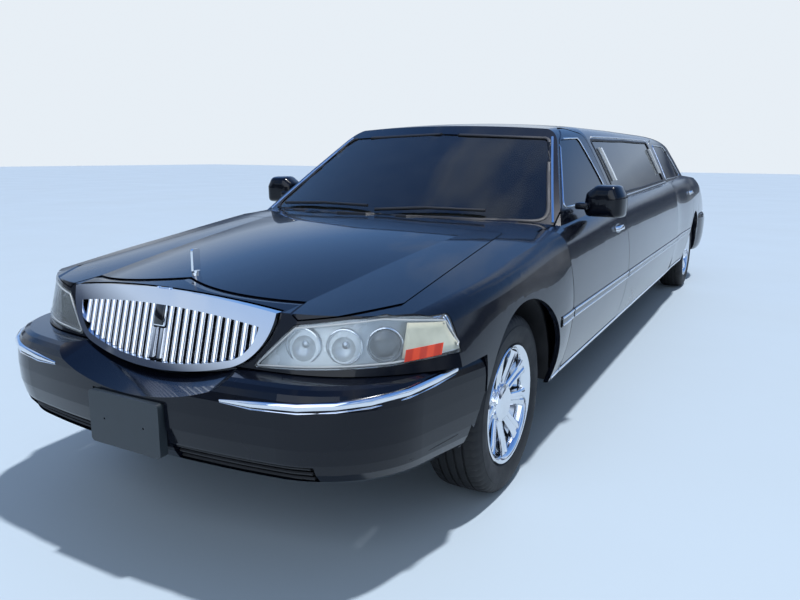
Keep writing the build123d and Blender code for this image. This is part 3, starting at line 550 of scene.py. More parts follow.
# Along a spoke: radius, distance outwards along the axle, and half of its width
SPOKE = (
    (0.06, 0.06, 0.027), (0.085, 0.062, 0.025), (0.12, 0.069, 0.026), (0.16, 0.078, 0.029),
    (0.192, 0.086, 0.034), (0.206, 0.088, 0.04))
# Across a spoke: share of the half-width, and height over its face
SPOKE_FACE = (
    (-1, -0.024), (-1, -0.004), (-0.82, 0.001), (-0.3, 0.003), (-0.16, -0.003), (0.16, -0.003), (0.3, 0.003),
    (0.82, 0.001), (1, -0.004), (1, -0.024))


class LIMO_OT_build_rims(bpy.types.Operator):
    """Build the four bright rims with broad spokes and a large plain cap"""
    bl_idname = "limo.build_rims"
    bl_label = "Rims"

    def execute(self, context):
        spokes = context.scene.limo_wheels.spokes
        for end, side, word in WHEELS:
            centre, body = wheel_place(end, word)
            out = side * LEFT
            bm = bmesh.new()
            lathe(bm, centre, out, BARREL, 96, loop=True)
            lathe(bm, centre, out, HUB, 64, loop=True)
            lathe(bm, centre, out, CAP, 64, caps=True)
            for index in range(spokes):
                angle = 2 * math.pi * (index + 0.5) / spokes
                radial = Vector((0, math.sin(angle), math.cos(angle)))
                across = Vector((0, math.cos(angle), -math.sin(angle)))
                prism(bm, [[centre + radial * r + across * a * half + out * (face + b) for a, b in SPOKE_FACE]
                           for r, face, half in SPOKE])
            piece(f"spoked_rim_{end}_{word}", bm, "wheel_chrome", body, smooth=32,
                  replaces=(f"rim_{end}_{word}",))
        return {"FINISHED"}


ROCKER_RUNS = (("wing", "front_wings", 0.43, 0.556), ("sill", "body_shell", 0.566, 4.64))


def moulding_runs():
    """Side panels that carry the moulding: side, name, body, node, first and last station."""
    for side, word in SIDES:
        yield side, f"wing_{word}", "chassis", "front_wings", 0.372, 0.556
        yield side, f"door_front_{word}", *DOORS["front", side][:2], 0.572, 1.773
        yield side, f"bay_{word}", "chassis", "body_shell", 1.792, 3.826
        yield side, f"door_rear_{word}", *DOORS["rear", side][:2], 3.842, 4.73


def side_run(skin, side, first, last, z, step=0.1):
    count = max(2, math.ceil((last - first) / step))
    return [skin.side(side, first + (last - first) * i / count, z) for i in range(count + 1)]


class LIMO_OT_build_side_trim(bpy.types.Operator):
    """Build the double bright side moulding and the rocker strips"""
    bl_idname = "limo.build_side_trim"
    bl_label = "Side mouldings"

    def execute(self, context):
        trim = context.scene.limo_trim
        for side, name, body, node, first, last in moulding_runs():
            skin = Skin(node)
            spots = side_run(skin, side, first, last, trim.moulding_height)
            strip(f"moulding_{name}", spots, half_round(0.05, 0.006), "black_paint", body)
            bm = bmesh.new()
            for offset in (-0.5, 0.5):
                z = trim.moulding_height + offset * trim.strip_pitch
                spots = raised(side_run(skin, side, first, last, z), 0.004)
                sweep(bm, frames_on(spots), half_round(trim.strip_width, 0.005))
            piece(f"bright_strips_{name}", bm, "chrome", body)
        for side, word in SIDES:
            for name, node, first, last in ROCKER_RUNS:
                spots = side_run(Skin(node), side, first, last, trim.rocker_height, 0.2)
                strip(f"rocker_strip_{name}_{word}", spots, half_round(0.022, 0.005), "chrome")
        return {"FINISHED"}


# Side windows and lines on the side: station, height and corner radius
FRONT_WINDOW = ((0.868, 1.056, 0.02), (1.325, 1.384, 0.03), (1.622, 1.396, 0.03), (1.708, 1.072, 0.018))
REAR_WINDOW = (
    (3.905, 1.112, 0.018), (3.96, 1.392, 0.03), (4.6, 1.385, 0.04), (4.79, 1.265, 0.06),
    (4.945, 1.122, 0.018))
STRETCH_WINDOW = ((1.868, 1.072, 0.022), (1.852, 1.394, 0.03), (3.7, 1.408, 0.03), (3.76, 1.106, 0.022))
DIVISION_BAR = ((4.79, 1.118), (4.745, 1.2), (4.7, 1.29), (4.655, 1.372))
BAY_MOULDINGS = (
    ("top", ((1.905, 1.412), (2.4, 1.42), (3.0, 1.424), (3.6, 1.426), (3.81, 1.424))),
    ("belt", ((1.9, 1.052), (2.5, 1.064), (3.2, 1.078), (3.7, 1.088), (3.81, 1.09))))
# Front and rear glass: place across, height and corner radius
SCREEN_WINDOW = (
    (-0.805, 1.0, 0.04), (-0.618, 1.392, 0.045), (0, 1.416), (0.618, 1.392, 0.045), (0.805, 1.0, 0.04),
    (0, 1.006))
BACK_WINDOW = (
    (-0.77, 1.128, 0.05), (-0.56, 1.392, 0.06), (0, 1.404), (0.56, 1.392, 0.06), (0.77, 1.128, 0.05),
    (0, 1.14))
SCREEN_PILLAR = ((0.826, 0.992), (0.632, 1.396))
# How far a side window's trim lies outside the outline
WINDOW_LAP = 0.005


class LIMO_OT_build_window_trim(bpy.types.Operator):
    """Build the bright lines round the side windows and the seals of the front and rear glass"""
    bl_idname = "limo.build_window_trim"
    bl_label = "Window trim"

    def execute(self, context):
        width = context.scene.limo_trim.window_trim
        for side, word in SIDES:
            front, rear = DOORS["front", side], DOORS["rear", side]
            for name, outline, (body, *nodes), breadth, material in (
                    (f"window_trim_front_{word}", FRONT_WINDOW, front, width, "chrome"),
                    (f"window_trim_rear_{word}", REAR_WINDOW, rear, width, "chrome"),
                    (f"window_seal_bay_{word}", STRETCH_WINDOW, ("chassis", "stretch_glass"), width * 2,
                     "black_plastic")):
                skin = Skin(*nodes, "body_shell", "front_wings")
                corners = rounded(outline)
                middle = sum(corners, Vector((0, 0))) / len(corners)
                spots = [skin.side(side, *(p + (p - middle).normalized() * WINDOW_LAP))
                         for p in filled(corners, 0.08)]
                strip(name, spots, half_round(breadth, 0.004), material, body, loop=True)
            skin = Skin(*rear[1:])
            spots = [skin.side(side, *p) for p in DIVISION_BAR]
            strip(f"division_bar_{word}", spots, half_round(0.022, 0.006), "gloss_black", rear[0])
            skin = Skin("body_shell")
            for name, line in BAY_MOULDINGS:
                spots = [skin.side(side, *p) for p in filled([Vector(p) for p in line], 0.12, loop=False)]
                strip(f"bay_{name}_moulding_{word}", spots, half_round(0.01, 0.006), "chrome")
        screen, back = Skin("body_shell", "windscreen"), Skin("body_shell", "rear_window")
        for name, outline, meet in (("screen", SCREEN_WINDOW, screen.front),
                                    ("back", BACK_WINDOW, back.back)):
            spots = [meet(*p) for p in filled(rounded(outline), 0.06)]
            strip(f"{name}_seal", spots, half_round(0.02, 0.004), "black_plastic", loop=True)
        for side, word in SIDES:
            line = [Vector((side * x, z)) for x, z in SCREEN_PILLAR]
            spots = [screen.front(*p) for p in filled(line, 0.04, loop=False)]
            strip(f"screen_side_trim_{word}", spots, half_round(0.013, 0.006), "chrome")
        return {"FINISHED"}


# Door end, station and height of each handle, and how far its grip stands off the cup along its length
HANDLES = (("front", 1.545, 0.905), ("rear", 4.735, 0.968))
HANDLE_LENGTH = 0.165
HANDLE_RISE = (0.002, 0.013, 0.021, 0.024, 0.025, 0.025, 0.025, 0.024, 0.021, 0.013, 0.002)
MIRROR_OUTLINE = (
    (0.886, 1.042, 0.018), (0.898, 1.122, 0.03), (0.95, 1.162, 0.04), (1.052, 1.16, 0.03),
    (1.082, 1.104, 0.03), (1.08, 1.004, 0.026), (0.904, 1.003, 0.022))
# Depths behind the shell's front, and the outline's size there
MIRROR_GLASS = ((0.108, 0.93), (0.1135, 0.93), (0.1145, 0.91))
MIRROR_FRAME = (
    (0.106, 0.99), (0.1155, 0.99), (0.1175, 0.975), (0.1175, 0.94), (0.115, 0.925), (0.106, 0.925))
MIRROR_DOME = (
    (0.0, 0.34), (0.002, 0.56), (0.006, 0.72), (0.014, 0.84), (0.028, 0.93), (0.048, 0.98), (0.075, 1.0),
    (0.108, 1.0), (0.112, 0.985))
# The shell's front, its middle across and up, the place that it turns about, and its turn outwards
MIRROR_FRONT = 0.978
MIRROR_MIDDLE = Vector((0.985, 1.08))
MIRROR_PIVOT = (0.965, 1.035, 1.072)
MIRROR_TURN = 8


def mirror_part(side, steps, loop=False):
    """A bmesh through the mirror's outline at each depth and size."""
    turn = Matrix.Rotation(math.radians(-MIRROR_TURN * side), 3, "Z")
    x, station, z = MIRROR_PIVOT
    pivot = Vector((side * x, along(station), z))
    rings = []
    for depth, scale in steps:
        ring = [MIRROR_MIDDLE + (p - MIRROR_MIDDLE) * scale for p in rounded(MIRROR_OUTLINE, 6)]
        spots = [Vector((side * p.x, along(MIRROR_FRONT + depth), p.y)) for p in ring]
        rings.append([pivot + turn @ (spot - pivot) for spot in spots])
    bm = bmesh.new()
    prism(bm, rings, loop)
    return bm


class LIMO_OT_build_handles(bpy.types.Operator):
    """Build the bright door handles with their dark cups, and the door mirrors"""
    bl_idname = "limo.build_handles"
    bl_label = "Handles and mirrors"

    def execute(self, context):
        count = len(HANDLE_RISE)
        sizes = [max(0.15, math.sin(math.pi * (k + 0.5) / count) ** 0.5) for k in range(count)]
        angles = [2 * math.pi * i / 12 for i in range(12)]
        grip = [(0.0045 * math.cos(a), 0.0135 * math.sin(a)) for a in angles]
        for side, word in SIDES:
            for end, station, z in HANDLES:
                body, panel, _ = DOORS[end, side]
                skin = Skin(panel)
                cup = [skin.side(side, station + (k / (count - 1) - 0.5) * HANDLE_LENGTH, z)
                       for k in range(count)]
                strip(f"handle_cup_{end}_{word}", cup, half_round(0.05, 0.003), "gloss_black", body,
                      scales=sizes)
                spots = [(p + n * rise, n) for (p, n), rise in zip(cup, HANDLE_RISE)]
                strip(f"handle_{end}_{word}", spots, grip, "chrome", body, level=1)
            body = DOORS["front", side][0]
            bm = mirror_part(side, MIRROR_DOME)
            x0, x1 = sorted((side * 0.866, side * 0.93))
            soft_box(bm, (x0, along(0.93), 1.044), (x1, along(1.045), 1.076), 0.01, 3)
            piece(f"mirror_shell_{word}", bm, "black_paint", body, smooth=50, replaces=(f"mirror_{word}",))
            piece(f"mirror_glass_{word}", mirror_part(side, MIRROR_GLASS), "mirror_silver", body)
            piece(f"mirror_frame_{word}", mirror_part(side, MIRROR_FRAME, loop=True), "black_plastic", body)
        return {"FINISHED"}


# Lines on the front bumper: across, station, height, and the way it faces in degrees from straight ahead
BUMPER_STRIP = (
    (0.372, -1.02, 0.59, 10), (0.48, -1.005, 0.594, 14), (0.62, -0.97, 0.6, 22), (0.72, -0.93, 0.606, 36),
    (0.79, -0.86, 0.612, 48), (0.85, -0.75, 0.62, 60), (0.895, -0.64, 0.629, 70), (0.922, -0.53, 0.636, 76))
BUMPER_SEAM = (
    (0.7, -0.92, 0.384, 34), (0.79, -0.85, 0.388, 48), (0.86, -0.73, 0.394, 60), (0.905, -0.62, 0.401, 70),
    (0.93, -0.51, 0.408, 78))
STRIP_SIZES = (0.3, 0.85, 1, 1, 1, 1, 1, 0.7)
STRIP_PROFILE = (
    (-0.003, -0.012), (0.004, -0.012), (0.009, -0.009), (0.012, -0.001), (0.011, 0.006), (0.006, 0.011),
    (-0.003, 0.012))
BEAD_DROP = 0.018
# Height of each intake slat, how far it lies behind the face above, and its section
SLATS = ((0.366, 0.052), (0.385, 0.042), (0.404, 0.032))
SLAT_PROFILE = ((-0.03, -0.004), (0.008, -0.005), (0.01, 0.0), (0.006, 0.004), (-0.03, 0.003))
SLAT_ENDS = (0.176, 0.64)
INTAKE_TOP = 0.445


class LIMO_OT_build_bumper_trim(bpy.types.Operator):
    """Build the bright bumper strips and the slatted lower intake"""
    bl_idname = "limo.build_bumper_trim"
    bl_label = "Bumper trim"

    def execute(self, context):
        skin = Skin("bumper_front")
        for side, word in SIDES:
            spots = [skin.towards(side, *place) for place in BUMPER_STRIP]
            spots = [(p, Vector((n.x, n.y, 0)).normalized()) for p, n in spots]
            strip(f"bumper_strip_front_{word}", spots, STRIP_PROFILE, "chrome", scales=STRIP_SIZES)
            lower = [(p - UP * BEAD_DROP * k, n) for (p, n), k in zip(spots, STRIP_SIZES)]
            strip(f"bumper_bead_front_{word}", lower, half_round(0.007, 0.008), "chrome", scales=STRIP_SIZES)
            seam = [skin.towards(side, *place) for place in BUMPER_SEAM]
            strip(f"bumper_seam_{word}", seam, half_round(0.005, 0.001, 5), "black_plastic",
                  scales=(0.3, 0.7, 1, 1, 1))
            bm = bmesh.new()
            for z, depth in SLATS:
                first, last = SLAT_ENDS
                faces = [skin.front(side * (first + (last - first) * k / 8), INTAKE_TOP)[0] for k in range(9)]
                line = [(Vector((face.x, face.y + depth, z)), -REAR) for face in faces]
                sweep(bm, frames_on(line), SLAT_PROFILE)
            for k in range(4):
                x = side * (0.23 + k * 0.125)
                y = skin.front(x, INTAKE_TOP)[0].y + 0.058
                soft_box(bm, (x - 0.003, y, 0.357), (x + 0.003, y + 0.03, 0.413), 0.001, 1)
            piece(f"intake_slats_{word}", bm, "black_plastic")
        skin = Skin("bumper_rear")
        spots = [skin.back(k / 8 * 0.84, 0.615) for k in range(-8, 9)]
        strip("bumper_strip_rear", spots, half_round(0.03, 0.01), "chrome")
        return {"FINISHED"}


# How far the nose leans back for each metre up
NOSE_SLOPE = 0.0715 / 0.26
BROW_HEIGHT = 0.845
CENTRE_BAR = (
    (-0.0095, 0.018), (-0.0095, 0.002), (-0.005, -0.004), (0.005, -0.004), (0.0095, 0.002), (0.0095, 0.018))


class LIMO_OT_build_grille(bpy.types.Operator):
    """Build the badge block, its bright frame, two bars below it and the raised saddle on the brow"""
    bl_idname = "limo.build_grille"
    bl_label = "Grille centre"

    def execute(self, context):
        half = context.scene.limo_lamps.badge_width / 2
        top, _ = Skin("grille_surround").front(0.0, BROW_HEIGHT)
        front = top.y - 0.004
        lean = Matrix.Rotation(-math.atan(NOSE_SLOPE), 3, "X")

        def leaning_box(bm, low, high, width):
            """Low and high hold place across, depth behind the front, and height."""
            low, high = (Vector((x, front + depth, z)) for x, depth, z in (low, high))
            soft_box(bm, low, high, width, 2, lean, (0, top.y, 0.8))

        bm = bmesh.new()
        leaning_box(bm, (-half - 0.004, 0, 0.738), (half + 0.004, 0.04, 0.84), 0.003)
        piece("badge_frame", bm, "chrome")
        bm = bmesh.new()
        leaning_box(bm, (-half, -0.006, 0.742), (half, 0.01, 0.836), 0.003)
        piece("badge_block", bm, "gloss_black")
        bm = bmesh.new()
        for side in (-1, 1):
            x = side * (half + 0.006)
            leaning_box(bm, (x - 0.004, -0.004, 0.815), (x + 0.004, 0.05, 0.868), 0.0035)
        leaning_box(bm, (-half - 0.004, -0.001, 0.838), (half + 0.004, 0.05, 0.867), 0.005)
        piece("grille_saddle", bm, "chrome")
        bm = bmesh.new()
        for x in (-0.0165, 0.0165):
            prism(bm, [[(x + a, top.y + (z - BROW_HEIGHT) * NOSE_SLOPE + 0.012 + b, z) for a, b in CENTRE_BAR]
                       for z in (0.64, 0.672, 0.704, 0.736)])
        piece("grille_centre_bars", bm, "chrome")
        return {"FINISHED"}


# Headlamp cups: across, station, height, and the way each faces in degrees from straight ahead
LAMP_CUPS = ((0.545, -0.862, 0.733, 14), (0.668, -0.815, 0.735, 22), (0.768, -0.735, 0.737, 32))
LAMP_OUTLINE = (
    (0.4, 0.667, 0.006), (0.516, 0.786, 0.014), (0.752, 0.818, 0.03), (0.884, 0.803, 0.024),
    (0.93, 0.714, 0.014), (0.79, 0.69))
BULB_CAP = ((-0.052, 0.009), (-0.026, 0.009), (-0.02, 0.012), (-0.012, 0.01), (-0.008, 0.002))
CUP_DEPTH = 0.02
MARKER_HEIGHT = 0.038


def build_lamp_cups(lens, side, word, radius):
    bowl = ((-0.052, 0.012), (-0.046, 0.024), (-0.034, 0.036), (-0.018, 0.045), (0.0, radius),
            (0.005, radius + 0.003), (0.004, radius + 0.006), (-0.01, radius + 0.006))
    face = ((-0.012, radius - 0.006), (-0.006, radius - 0.004), (0.002, radius * 0.7), (0.006, radius * 0.35),
            (0.007, 0.002))
    bowls, bulbs, ribbed = bmesh.new(), bmesh.new(), bmesh.new()
    for cup in LAMP_CUPS:
        out = facing_out(side, cup[-1])
        seat = lens.towards(side, *cup)[0] - out * CUP_DEPTH
        lathe(bowls, seat, out, bowl, 40)
        if cup is LAMP_CUPS[-1]:
            lathe(ribbed, seat, out, face, 36, caps=True)
        else:
            lathe(bulbs, seat, out, BULB_CAP, 20, caps=True)
    piece(f"lamp_bowls_{word}", bowls, "bowl_chrome")
    piece(f"lamp_bulb_caps_{word}", bulbs, "satin_metal")
    piece(f"ribbed_lamp_{word}", ribbed, "fog_lens")


def build_side_marker(lens, side, word):
    """A thin raised tile that follows the lens, in eight columns."""
    rings = []
    for k in range(8):
        x, z = side * (0.812 + 0.078 * k / 7), 0.688 + 0.012 * k / 7
        (low, low_out), (high, high_out) = lens.front(x, z), lens.front(x, z + MARKER_HEIGHT)
        edge = (high - low) * 0.05
        rings.append((low + low_out * 0.0005, low + low_out * 0.0035 + edge, high + high_out * 0.0035 - edge,
                      high + high_out * 0.0005))
    bm = bmesh.new()
    prism(bm, rings)
    piece(f"side_marker_{word}", bm, "amber_red_lens")


def build_turn_lamp(lens, side, word):
    """A thin sheet on the lens's outer end, cut along the rim."""
    bm = bmesh.new()
    rings = []
    for k in range(9):
        ring = []
        for j in range(6):
            z = 0.7 + 0.014 * k / 8 + (0.104 - 0.02 * k / 8) * j / 5
            x = 0.806 + (0.076 + (0.803 - z) * 0.51) * k / 8
            point, normal = lens.front(side * x, z)
            ring.append(bm.verts.new(point + normal * 0.0016))
        rings.append(ring)
    join_rings(bm, rings, caps=False, closed=False)
    thick = piece(f"turn_lamp_{word}", bm, "cream_lens").modifiers.new("thickness", "SOLIDIFY")
    thick.thickness, thick.offset = 0.002, 0


class LIMO_OT_build_headlamps(bpy.types.Operator):
    """Build the round reflectors, bulbs, side marker and turn lamp behind and on the clear lenses"""
    bl_idname = "limo.build_headlamps"
    bl_label = "Headlamps"

    def execute(self, context):
        lens = Skin("headlamp_lenses")
        for side, word in SIDES:
            build_lamp_cups(lens, side, word, context.scene.limo_lamps.cup_radius)
            spots = [lens.front(side * p.x, p.y) for p in filled(rounded(LAMP_OUTLINE), 0.04)]
            strip(f"lens_rim_{word}", spots, half_round(0.006, 0.0022), "lens_rim", loop=True)
            build_side_marker(lens, side, word)
            build_turn_lamp(lens, side, word)
        return {"FINISHED"}


# Each box: two opposite corners as across, station and height, and its edge radius
BENCH_PADS = [((-0.79, 2.26, 0.356), (-0.4, 4.37, 0.44), 0.02)]
for seat_start in (2.255, 2.786, 3.317, 3.848):
    BENCH_PADS += [((-0.795, seat_start, 0.44), (-0.375, seat_start + 0.526, 0.695), 0.05),
                   ((-0.805, seat_start, 0.7), (-0.705, seat_start + 0.526, 1.015), 0.04)]
INSTRUMENT_HOOD = (
    ((0.2, 0.86, 0.8), (0.54, 0.905, 0.885), 0.012),
    ((-0.1, 0.87, 0.66), (0.12, 0.9, 0.84), 0.01))
INSIDE_MIRROR = (
    ((-0.12, 1.15, 1.262), (0.12, 1.172, 1.328), 0.01),
    ((-0.01, 1.168, 1.32), (0.01, 1.192, 1.368), 0.004, 2))
PARTITION = (
    (-0.83, 0.36), (0.83, 0.36), (0.84, 0.95), (0.8, 1.02), (0.66, 1.33), (-0.66, 1.33), (-0.8, 1.02),
    (-0.84, 0.95))
PARTITION_STATIONS = (1.913, 1.937)
REAR_SEAT_WIDTH = 0.392


def station_box(bm, low, high, width, segments=3, turn=None, pivot=None):
    """A soft box whose corners are given as across, station and height."""
    low, high = ((x, along(station), z) for x, station, z in (low, high))
    soft_box(bm, low, high, width, segments, turn, pivot)


def boxes(items):
    bm = bmesh.new()
    for item in items:
        station_box(bm, *item)
    return bm


def front_seats():
    bm = bmesh.new()
    lean = Matrix.Rotation(math.radians(-14), 3, "X")
    for side in (1, -1):
        x0, x1 = sorted((side * 0.115, side * 0.635))
        station_box(bm, (x0, 1.185, 0.42), (x1, 1.685, 0.595), 0.05)
        station_box(bm, (x0 + 0.01, 1.19, 0.356), (x1 - 0.01, 1.6, 0.43), 0.02)
        middle = Vector((side * 0.375, along(1.735), 0.83))
        for low, high, width in (((-0.25, -0.06, -0.275), (0.25, 0.06, 0.275), 0.055),
                                 ((-0.13, -0.045, 0.285), (0.13, 0.045, 0.42), 0.04)):
            soft_box(bm, middle + Vector(low), middle + Vector(high), width, 3, lean, middle)
    return bm


def rear_bench():
    bm = bmesh.new()
    lean = Matrix.Rotation(math.radians(-12), 3, "X")
    middle = Vector((0, along(5.29), 0.92))
    for k in (-1, 0, 1):
        x = k * REAR_SEAT_WIDTH
        station_box(bm, (x - 0.192, 4.705, 0.6), (x + 0.192, 5.265, 0.795), 0.05)
        station_box(bm, (x - 0.19, 5.235, 0.655), (x + 0.19, 5.345, 1.185), 0.045, 3, lean, middle)
    station_box(bm, (-0.58, 4.71, 0.556), (0.58, 5.22, 0.61), 0.015)
    return bm


class LIMO_OT_build_cabin(bpy.types.Operator):
    """Build the padded seats, the partition, the instrument hood and the inside mirror"""
    bl_idname = "limo.build_cabin"
    bl_label = "Cabin"

    def execute(self, context):
        for name, bm, replaces in (("front_seats", front_seats(), ("seats",)),
                                   ("side_bench", boxes(BENCH_PADS), ()),
                                   ("rear_bench", rear_bench(), ())):
            seat = piece(name, bm, "black_leather", smooth=60, replaces=replaces)
        bm = bmesh.new()
        prism(bm, [[(x, along(station), z) for x, z in PARTITION] for station in PARTITION_STATIONS])
        piece("partition", bm, "black_plastic", width=0.004)
        piece("instrument_hood", boxes(INSTRUMENT_HOOD), "black_plastic")
        piece("inside_mirror", boxes(INSIDE_MIRROR), "black_plastic")
        return {"FINISHED"}


EXHAUST_TIP = ((-0.08, 0.03), (-0.07, 0.033), (0.03, 0.034), (0.034, 0.0325), (0.03, 0.0305), (-0.06, 0.0295))
# Name, half of the length, height, section's height and stand-off, and look of each strip across the lid
LID_STRIPS = (
    ("lid_reflector", 0.47, 0.79, 0.06, 0.01, "red_lens"), ("lid_strip", 0.46, 0.94, 0.03, 0.01, "chrome"))
BOOT_STATIONS = (5.6, 5.7, 5.8, 5.9, 6.0, 6.1, 6.18, 6.25, 6.3, 6.34)
BOOT_FLOOR, BOOT_LIP = 0.413, 0.47
BOOT_GAP = 0.002


def boot_lining():
    """A carpet tray as wide as the walls allow, with a closing board behind each wheel housing."""
    walls = Skin("bumper_rear", "body_shell")

    def wall(side, y, z):
        return walls.beside(Vector((side * 0.4, y, z)), side * LEFT, REAR, 1.0)[0].x

    bm = bmesh.new()
    rings = []
    for y in map(along, BOOT_STATIONS):
        reach = min(abs(wall(side, y, z)) for side in (1, -1) for z in (0.43, 0.45, BOOT_LIP)) - BOOT_GAP
        half = ((-reach, BOOT_FLOOR), (-reach, BOOT_LIP), (0.01 - reach, BOOT_LIP), (0.016 - reach, 0.424))
        rings.append([(x, y, z) for x, z in (*half, *((-x, z) for x, z in reversed(half)))])
    prism(bm, rings)
    ahead, behind = along(5.586), along(5.602)
    for side in (1, -1):
        rings = []
        for k in range(8):
            z = BOOT_FLOOR + 0.06 * k
            inner, outer = side * 0.56, wall(side, behind, z) - side * BOOT_GAP
            rings.append(((inner, ahead, z), (outer, ahead, z), (outer, behind, z), (inner, behind, z)))
        prism(bm, rings)
    return bm


class LIMO_OT_build_tail(bpy.types.Operator):
    """Build the lid's reflector and strip, the exhaust tips and the carpet tray in the boot"""
    bl_idname = "limo.build_tail"
    bl_label = "Tail"

    def execute(self, context):
        skin = Skin("trunk_lid")
        for name, half, z, width, height, material in LID_STRIPS:
            spots = [skin.back(-half + 2 * half * k / 16, z) for k in range(17)]
            strip(name, spots, half_round(width, height), material, "trunk")
        for side, word in SIDES:
            bm = bmesh.new()
            lathe(bm, Vector((side * 0.25, along(6.475), 0.262)), REAR, EXHAUST_TIP, 40)
            piece(f"exhaust_tip_{word}", bm, "chrome", slot="pipe_steel")
        piece("boot_lining", boot_lining(), "carpet")
        return {"FINISHED"}


# Camera fitted to the photo: place as across, station and height, and its turn, tilt and roll in degrees
CAMERA_PLACE = (1.764, -2.466, 1.297)
CAMERA_YAW, CAMERA_PITCH, CAMERA_ROLL = 28.71, 11.76, 0.43
CAMERA_SENSOR = 36
CAMERA_LENS = 697 / 800 * CAMERA_SENSOR
FLOOR_REACH = 60
SUN_ANGLE, SUN_PLACE, SUN_AIM = 2.5, (3, 4, 12), (2.04, 2.74, 6)
FILL_SIZE, FILL_TONE, FILL_PLACE, FILL_AIM = 16.0, (0.88, 0.94, 1.0), (2.5, -18.0, 9.5), (0, -2.5, 0.6)
# Surroundings seen in the paint, from straight below (0) to straight above (1), and the clouds over them
SKY_STOPS = (
    (0.0, (0.3, 0.34, 0.4)), (0.49, (0.16, 0.19, 0.24)), (0.5, (0.06, 0.08, 0.12)),
    (0.545, (0.05, 0.07, 0.12)), (0.575, (0.6, 0.74, 0.95)), (0.67, (0.2, 0.42, 0.88)),
    (1.0, (0.05, 0.17, 0.56)))
CLOUD_TONE = (0.8, 0.89, 1.0)
SKY_STRENGTH = 0.95
SOFT_TONE, SOFT_STRENGTH = (0.62, 0.78, 1.0), 0.32
BACKDROP_TONE = (0.8, 0.86, 0.92)


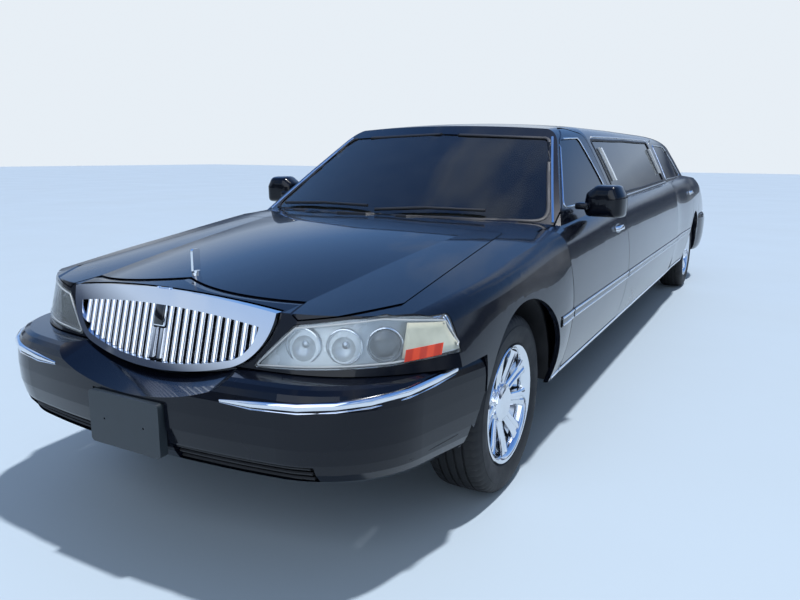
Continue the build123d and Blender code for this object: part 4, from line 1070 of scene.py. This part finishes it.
class LIMO_OT_build_stage(bpy.types.Operator):
    """Build the pale floor, the soft lights, the surroundings seen in the paint, and the camera"""
    bl_idname = "limo.build_stage"
    bl_label = "Stage"

    def execute(self, context):
        scene = context.scene
        stage = scene.limo_stage
        if stage.show_floor:
            self.floor(scene, tuple(stage.floor_colour))
        self.lights(scene, stage)
        self.surroundings(scene)
        self.camera(scene)
        scene.view_settings.view_transform = "Standard"
        return {"FINISHED"}

    def floor(self, scene, tone):
        bm = bmesh.new()
        bm.faces.new([bm.verts.new((x * FLOOR_REACH, y * FLOOR_REACH, 0))
                      for x, y in ((-1, -1), (1, -1), (1, 1), (-1, 1))])
        data = bpy.data.meshes.new("floor")
        bm.to_mesh(data)
        bm.free()
        floor = bpy.data.objects.new("floor", data)
        scene.collection.objects.link(floor)
        tones = (tone, tuple(c * 0.96 for c in tone))
        data.materials.append(plain_finish("floor_look", *tones, (0.55, 0.7), (40, 0.05, 0.001), 0.6))

    def lights(self, scene, stage):
        sun = bpy.data.lights.new("sun", "SUN")
        sun.energy, sun.angle, sun.color = stage.sun_strength, math.radians(SUN_ANGLE), (1.0, 1.0, 1.0)
        fill = bpy.data.lights.new("fill", "AREA")
        fill.energy, fill.size, fill.color = stage.fill_power, FILL_SIZE, FILL_TONE
        for data, place, aim in ((sun, SUN_PLACE, SUN_AIM), (fill, FILL_PLACE, FILL_AIM)):
            lamp = bpy.data.objects.new(data.name, data)
            scene.collection.objects.link(lamp)
            lamp.location = place
            lamp.rotation_mode = "QUATERNION"
            lamp.rotation_quaternion = (Vector(aim) - Vector(place)).to_track_quat("-Z", "Y")

    def surroundings(self, scene):
        world = scene.world = bpy.data.worlds.new("soft_sky")
        world.use_nodes = True
        tree = world.node_tree
        tree.nodes.clear()
        place = add(tree, "ShaderNodeTexCoord").outputs["Generated"]
        split = add(tree, "ShaderNodeSeparateXYZ", {"Vector": place})
        height = add(tree, "ShaderNodeMath", {0: split.outputs["Z"], 1: 0.5, 2: 0.5},
                     operation="MULTIPLY_ADD")
        ramp = add(tree, "ShaderNodeValToRGB", {"Fac": height.outputs["Value"]})
        for index, (at, tone) in enumerate(SKY_STOPS):
            stop = ramp.color_ramp.elements[index] if index < 2 else ramp.color_ramp.elements.new(at)
            stop.position, stop.color = at, (*tone, 1)
        clouds = add(tree, "ShaderNodeTexNoise", {"Vector": place, "Scale": 2.6, "Detail": 6.0})
        cover = ranged(tree, clouds.outputs["Fac"], 0, 1, 0.52, 0.72)
        seen = add(tree, "ShaderNodeBackground", {"Color": (*BACKDROP_TONE, 1)})
        tone = blend(tree, cover, ramp.outputs["Color"], CLOUD_TONE)
        sky = add(tree, "ShaderNodeBackground", {"Color": tone, "Strength": SKY_STRENGTH})
        soft = add(tree, "ShaderNodeBackground", {"Color": (*SOFT_TONE, 1), "Strength": SOFT_STRENGTH})
        path = add(tree, "ShaderNodeLightPath")
        gloss = add(tree, "ShaderNodeMixShader", {
            "Fac": path.outputs["Is Glossy Ray"], 1: soft.outputs["Background"],
            2: sky.outputs["Background"]})
        last = add(tree, "ShaderNodeMixShader", {
            "Fac": path.outputs["Is Camera Ray"], 1: gloss.outputs["Shader"], 2: seen.outputs["Background"]})
        add(tree, "ShaderNodeOutputWorld", {"Surface": last.outputs["Shader"]})

    def camera(self, scene):
        yaw, pitch, roll = (math.radians(v) for v in (CAMERA_YAW, CAMERA_PITCH, CAMERA_ROLL))
        ahead = Vector((-math.sin(yaw) * math.cos(pitch), math.cos(yaw) * math.cos(pitch), -math.sin(pitch)))
        right = ahead.cross(UP).normalized()
        up = right.cross(ahead)
        right, up = right * math.cos(roll) + up * math.sin(roll), up * math.cos(roll) - right * math.sin(roll)
        data = bpy.data.cameras.new("photo_camera")
        data.lens, data.sensor_width, data.clip_end = CAMERA_LENS, CAMERA_SENSOR, 200
        camera = bpy.data.objects.new("photo_camera", data)
        scene.collection.objects.link(camera)
        turn = Matrix((right, up, -ahead)).transposed().to_4x4()
        x, station, z = CAMERA_PLACE
        camera.matrix_world = Matrix.Translation((x, along(station), z)) @ turn
        scene.camera = camera


GROUPS = (("limo_trim", LimoTrimSettings), ("limo_wheels", LimoWheelSettings),
          ("limo_lamps", LimoLampSettings), ("limo_stage", LimoStageSettings))
OPERATORS = (LIMO_OT_finish_frame, LIMO_OT_build_tyres, LIMO_OT_build_rims, LIMO_OT_build_side_trim,
             LIMO_OT_build_window_trim, LIMO_OT_build_handles, LIMO_OT_build_bumper_trim,
             LIMO_OT_build_grille, LIMO_OT_build_headlamps, LIMO_OT_build_cabin, LIMO_OT_build_tail,
             LIMO_OT_build_stage)


class LIMO_PT_panel(bpy.types.Panel):
    """Lists the pieces of the limousine"""
    bl_idname = "LIMO_PT_panel"
    bl_label = "Stretch limousine"
    bl_space_type = "VIEW_3D"
    bl_region_type = "UI"
    bl_category = "Limousine"

    def draw(self, context):
        layout = self.layout
        for group, _ in GROUPS:
            settings = getattr(context.scene, group)
            column = layout.column(align=True)
            for key in settings.__annotations__:
                column.prop(settings, key)
        for operator in OPERATORS:
            layout.operator(operator.bl_idname)


def register():
    for name, group in GROUPS:
        bpy.utils.register_class(group)
        setattr(bpy.types.Scene, name, PointerProperty(type=group))
    for cls in (*OPERATORS, LIMO_PT_panel):
        bpy.utils.register_class(cls)


def unregister():
    for cls in reversed((*OPERATORS, LIMO_PT_panel)):
        bpy.utils.unregister_class(cls)
    for name, group in reversed(GROUPS):
        delattr(bpy.types.Scene, name)
        bpy.utils.unregister_class(group)


def main():
    register()
    for operator in OPERATORS:
        group, name = operator.bl_idname.split(".")
        getattr(getattr(bpy.ops, group), name)()


if __name__ == "__main__":
    main()
